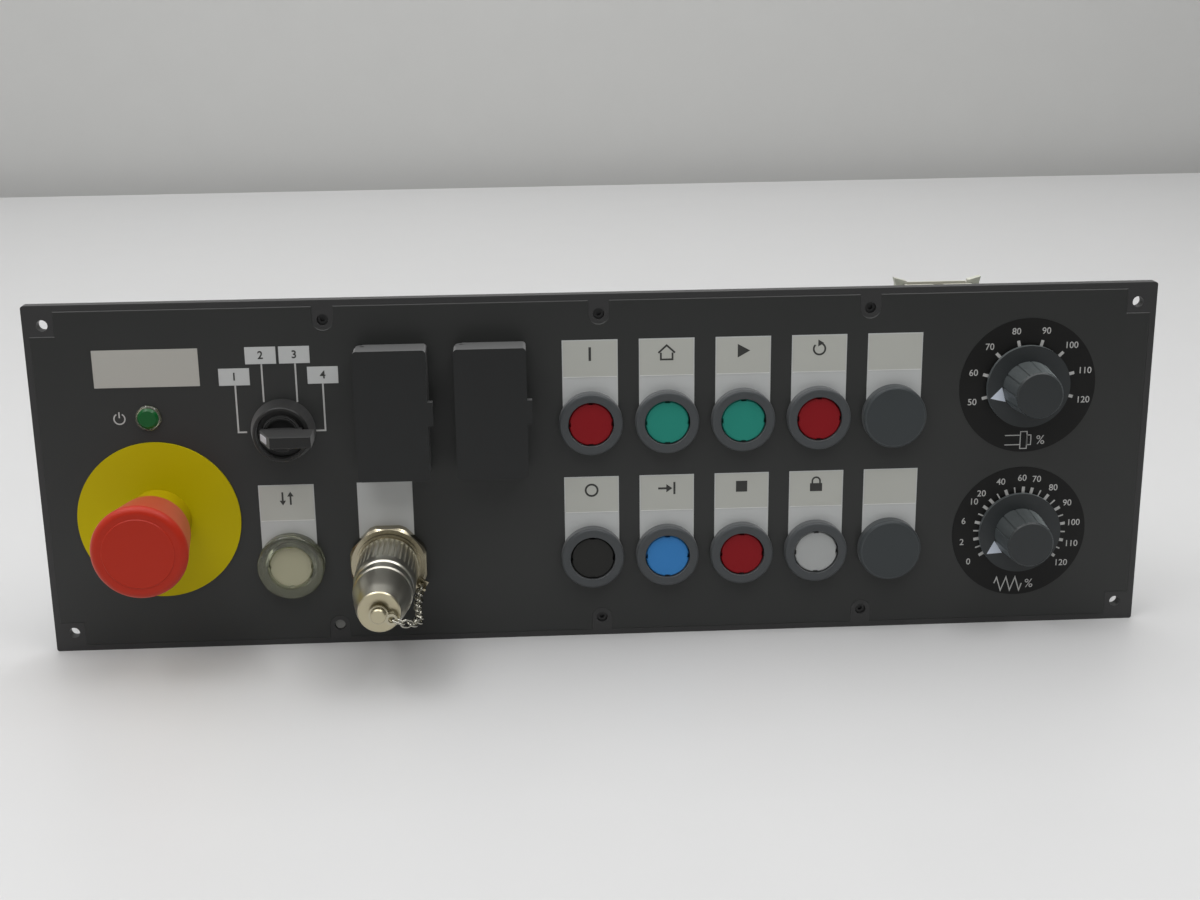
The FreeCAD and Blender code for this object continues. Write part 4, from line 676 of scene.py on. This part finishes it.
# Contacts of the sockets under the covers.
sockets = {"networkX": -88.5, "networkZ": 39.0, "wirePlaces": [number - 3.5 for number in range(8)], "wirePitch": 1.02,
           "busZ": 17.15, "busStrips": (-3.5, -1.1, 1.1, 3.5), "dataX": -46.5, "dataZ": 29.5, "dataPitch": 2.74,
           "dataAside": 1.42, "pinPoints": 12}
networkWire = {"half": 0.18, "bottom": 2.9, "top": 3.3, "low": -2.4, "high": 5.2}
busStrip = {"half": 0.5, "bottom": -0.05, "top": 0.06, "low": -2.0, "high": 5.9}
dataPin = [(0.5, 7.9), (0.5, 12.2), (0.36, 12.6), (0.1, 12.8)]
dataSteps = [(-1, number - 2) for number in range(5)] + [(1, number - 1.5) for number in range(4)]
dataPlaces = [(sockets["dataX"] + side * sockets["dataAside"], sockets["dataZ"] + step * sockets["dataPitch"])
              for side, step in dataSteps]


def contactBar(shape, x, z, size):
    bar(shape, x - size["half"], x + size["half"], z + size["bottom"], z + size["top"], size["low"], size["high"])


shape = bmesh.new()
for place in sockets["wirePlaces"]:
    contactBar(shape, sockets["networkX"] + place * sockets["wirePitch"], sockets["networkZ"], networkWire)
for across in sockets["busStrips"]:
    contactBar(shape, sockets["networkX"] + across, sockets["busZ"], busStrip)
for x, z in dataPlaces:
    lathe(shape, x, z, dataPin, sockets["pinPoints"])
addPiece("socketContacts", shape, "contact", "panel")
print("front details added")

# Rear: terminal screws of the devices that aren't on the board, and the lamp's leads.
terminal = {"x": -191.6, "z": -17.6, "aside": 8.0, "step": 15.5, "out": -34.9, "radius": 2.6, "tall": 1.6,
            "aims": {(-1, -1): 20, (-1, 1): 50, (1, -1): 85, (1, 1): 115}}
elementScrew = {"x": -136.0, "aside": 5.0, "out": -25.9, "radius": 2.2, "tall": 1.4,
                "aims": {(-1, "top"): 35, (-1, "bottom"): 0, (1, "top"): 105, (1, "bottom"): 70}}
lampLead = {"x": -192.5, "z": 28.2, "aside": 1.27, "out": -9.9, "radius": 0.3, "long": 6.5, "points": 8}


# A plain round pin towards the rear.
def rearPin(shape, x, z, size):
    lathe(shape, x, z, [(size["radius"], size["out"]), (size["radius"], size["out"] - size["long"])], size["points"])


shape = bmesh.new()
for (side, step), aim in terminal["aims"].items():
    slottedHead(shape, terminal["x"] + side * terminal["aside"], terminal["z"] + step * terminal["step"],
                terminal["radius"], terminal["out"], terminal["out"] - terminal["tall"], aim)
for (side, row), aim in elementScrew["aims"].items():
    slottedHead(shape, elementScrew["x"] + side * elementScrew["aside"], grid[row], elementScrew["radius"],
                elementScrew["out"], elementScrew["out"] - elementScrew["tall"], aim)
for side in (-1, 1):
    rearPin(shape, lampLead["x"] + side * lampLead["aside"], lampLead["z"], lampLead)
addPiece("terminalScrews", shape, "solder", "panel")

# Rear: solder cups of the round connector and the tails of the sockets.
cup = {"outer": 7.2, "outerCount": 9, "inner": 3.0, "innerStart": 30, "innerCount": 3, "out": -19.9, "radius": 0.85,
       "long": 4.2, "points": 12}
networkTail = {"pitch": 1.27, "aside": 1.3, "out": -13.9, "radius": 0.28, "long": 3.2, "points": 8}
busTail = {"z": 17.5, "out": -13.9, "radius": 0.35, "long": 3.0, "points": 8}
dataTail = {"out": -13.9, "radius": 0.7, "long": 3.6, "points": 10}
shape = bmesh.new()
for x, z in (around(cap["x"], cap["z"], cup["outer"], count=cup["outerCount"])
             + around(cap["x"], cap["z"], cup["inner"], cup["innerStart"], count=cup["innerCount"])):
    rearPin(shape, x, z, cup)
for number, place in enumerate(sockets["wirePlaces"]):
    rise = networkTail["aside"] if number % 2 else -networkTail["aside"]
    rearPin(shape, sockets["networkX"] + place * networkTail["pitch"], sockets["networkZ"] + rise, networkTail)
for across in sockets["busStrips"]:
    rearPin(shape, sockets["networkX"] + across, busTail["z"], busTail)
for x, z in dataPlaces:
    rearPin(shape, x, z, dataTail)
addPiece("rearTails", shape, "contact", "panel")

# Circuit board: solder joints of the switch elements and rotary switches, tracks up to the header.
board = {"out": -27.6, "pin": 6.0, "ring": 10.4, "ringStart": 15, "ringCount": 12, "trackWide": 0.55,
         "trackThick": 0.035, "headerZ": 61.0, "headerX": 142.9, "pitch": 2.54, "topLane": 41.5, "lowLane": -19.5,
         "lane": 2.54, "bend": 1.0, "dialEnd": 168.9, "dialLane": 1.15, "dialFirst": 4, "dialTracks": 3}
solderJoint = {"profile": [(1.05, 0.05), (1.05, -0.1), (0.75, -0.45), (0.42, -1.0), (0.3, -1.5)], "points": 12}
dialPins = [around(dials["x"], dial["z"], board["ring"], board["ringStart"], count=board["ringCount"])
            for dial in (spindleDial, feedDial)]
joints = [(x + sx * board["pin"], grid[row] + sz * board["pin"]) for row in ("top", "bottom") for x in columns[:4]
          for sx in (-1, 1) for sz in (-1, 1)] + dialPins[0] + dialPins[1]
shape = bmesh.new()
for x, z in joints:
    lathe(shape, x, z, [(radius, board["out"] + rise) for radius, rise in solderJoint["profile"]],
          solderJoint["points"])
addPiece("solderJoints", shape, "solder", "panel")


def boardTrack(shape, points):
    stroke(shape, points, board["trackWide"], board["out"] - board["trackThick"], board["out"])


shape = bmesh.new()
bend = board["bend"]
for number in range(4):
    for row, lane, first in (("top", board["topLane"], 0), ("bottom", board["lowLane"], 4)):
        for side in (-1, 1):
            x = columns[number] + side * board["pin"]
            turn = lane + board["lane"] * (3 - number) + (board["lane"] / 2 if side < 0 else 0)
            end = board["headerX"] + board["pitch"] * (first + number) + (board["pitch"] / 2 if side > 0 else 0)
            boardTrack(shape, [(x, grid[row] + board["pin"]), (x, turn - bend), (x + bend, turn), (end - bend, turn),
                               (end, turn + bend), (end, board["headerZ"])])
for number, pins in enumerate(dialPins):
    for step in range(board["dialTracks"]):
        x, start = pins[board["dialFirst"] + step]
        end = board["dialEnd"] - board["dialLane"] * (step + board["dialTracks"] * number)
        boardTrack(shape, [(x, start), (end + bend, start), (end, start + bend), (end, board["headerZ"])])
addPiece("boardTracks", shape, "track", "panel")

# Cross recesses in the board's screws.
cross = {"columns": (-12.0, 100.0, 212.0), "rows": (-66.5, 66.5), "long": 1.1, "thin": 0.25, "low": -29.84,
         "high": -29.78}
shape = bmesh.new()
for x, z in [(x, z) for x in cross["columns"] for z in cross["rows"]]:
    for wide, tall in ((cross["long"], cross["thin"]), (cross["thin"], cross["long"])):
        bar(shape, x - wide, x + wide, z - tall, z + tall, cross["low"], cross["high"])
addPiece("crossRecesses", shape, "black_steel", "panel")
print("rear details added")

# Studio: a pale table that ends at a pale wall, soft light from above and all round.
studio = {"tableZ": -77.5, "tableLeft": 1560.0, "tableRight": 1690.0, "wallGap": 60.0, "span": 3500.0,
          "near": -3500.0, "wallTop": 2500.0}
# Towards the camera the table is painted a little greyer, a painted shade, between two distances in metres.
tableLook = {"rough": 0.42, "spread": 0.01, "specular": 0.4, "bump": 0.0, "paintedShade": (-0.23, -0.6, 0.4)}
surface("table", (200, 200, 200), **tableLook)
surface("wall", (203, 203, 201), rough=0.7, spread=0.02, bump=0.0)


def stagePiece(name, corners, material):
    mesh = bpy.data.meshes.new(name)
    mesh.from_pydata([Vector(corner) * millimetre for corner in corners], [], [range(len(corners))])
    mesh.materials.append(materials[material])
    made = bpy.data.objects.new(name, mesh)
    bpy.context.scene.collection.objects.link(made)


span, low = studio["span"], studio["tableZ"]
wallLeft, wallRight = studio["tableLeft"] + studio["wallGap"], studio["tableRight"] + studio["wallGap"]
stagePiece("table", [(-span, studio["near"], low), (span, studio["near"], low), (span, studio["tableRight"], low),
                     (-span, studio["tableLeft"], low)], "table")
stagePiece("wall", [(-span, wallLeft, low - span), (span, wallRight, low - span),
                    (span, wallRight, studio["wallTop"]), (-span, wallLeft, studio["wallTop"])], "wall")

# A wide ceiling light and two narrow strips, in metres and watts.
ceiling = {"place": (-0.2, 0.05, 1.7), "aim": (-0.2, 0.05, 0.0), "width": 3.2, "depth": 3.6, "power": 61.5}
strip = {"aim": (0.0, 0.0, 0.0), "width": 0.9, "depth": 0.06, "power": 3.0}
stripPlaces = [(-0.75, -0.35, 1.45), (0.75, -0.35, 1.45)]


def softLight(name, place, aim, width, depth, power):
    data = bpy.data.lights.new(name, "AREA")
    data.shape = "RECTANGLE"
    data.size = width
    data.size_y = depth
    data.energy = power
    lamp = bpy.data.objects.new(name, data)
    lamp.location = place
    lamp.rotation_mode = "QUATERNION"
    lamp.rotation_quaternion = (Vector(aim) - Vector(place)).to_track_quat("-Z", "Y")
    bpy.context.scene.collection.objects.link(lamp)


softLight("ceilingLight", **ceiling)
for place in stripPlaces:
    softLight("stripLight", place, **strip)

# The room is dimmer in front of the panel and to its right.
room = {"level": 0.26, "right": -0.18, "back": 0.1, "up": 0.08}
world = bpy.data.worlds.new("studio")
bpy.context.scene.world = world
world.use_nodes = True
sky = world.node_tree.nodes["Background"]
sky.inputs["Color"].default_value = (1.0, 1.0, 1.0, 1.0)
start = Signal(world.node_tree)
aim = start.node("ShaderNodeTexCoord", output="Generated")
parts = [start.node("ShaderNodeSeparateXYZ", inputs={0: aim}, output=number) for number in range(3)]
glow = room["level"] + parts[0] * room["right"] + parts[1] * room["back"] + parts[2] * room["up"]
world.node_tree.links.new(glow.socket, sky.inputs["Strength"])

# The camera that fits the photograph, its place in millimetres.
cameraFit = {"place": (-34.53, -697.10, 208.40), "lens": 49.73, "sensor": 36.0, "clip": (0.01, 50.0),
             "right": (0.99852131, -0.05307286, -0.01176687), "up": (0.02598963, 0.27594785, 0.96082117),
             "forward": (0.04774648, 0.95970623, -0.27691915)}
lensData = bpy.data.cameras.new("photoCamera")
lensData.lens = cameraFit["lens"]
lensData.sensor_width = cameraFit["sensor"]
lensData.clip_start, lensData.clip_end = cameraFit["clip"]
camera = bpy.data.objects.new("photoCamera", lensData)
axes = Matrix((cameraFit["right"], cameraFit["up"], [-value for value in cameraFit["forward"]])).transposed()
camera.matrix_world = Matrix.Translation(Vector(cameraFit["place"]) * millimetre) @ axes.to_4x4()
bpy.context.scene.collection.objects.link(camera)
bpy.context.scene.camera = camera
bpy.context.scene.view_settings.view_transform = "Standard"
print("studio set")
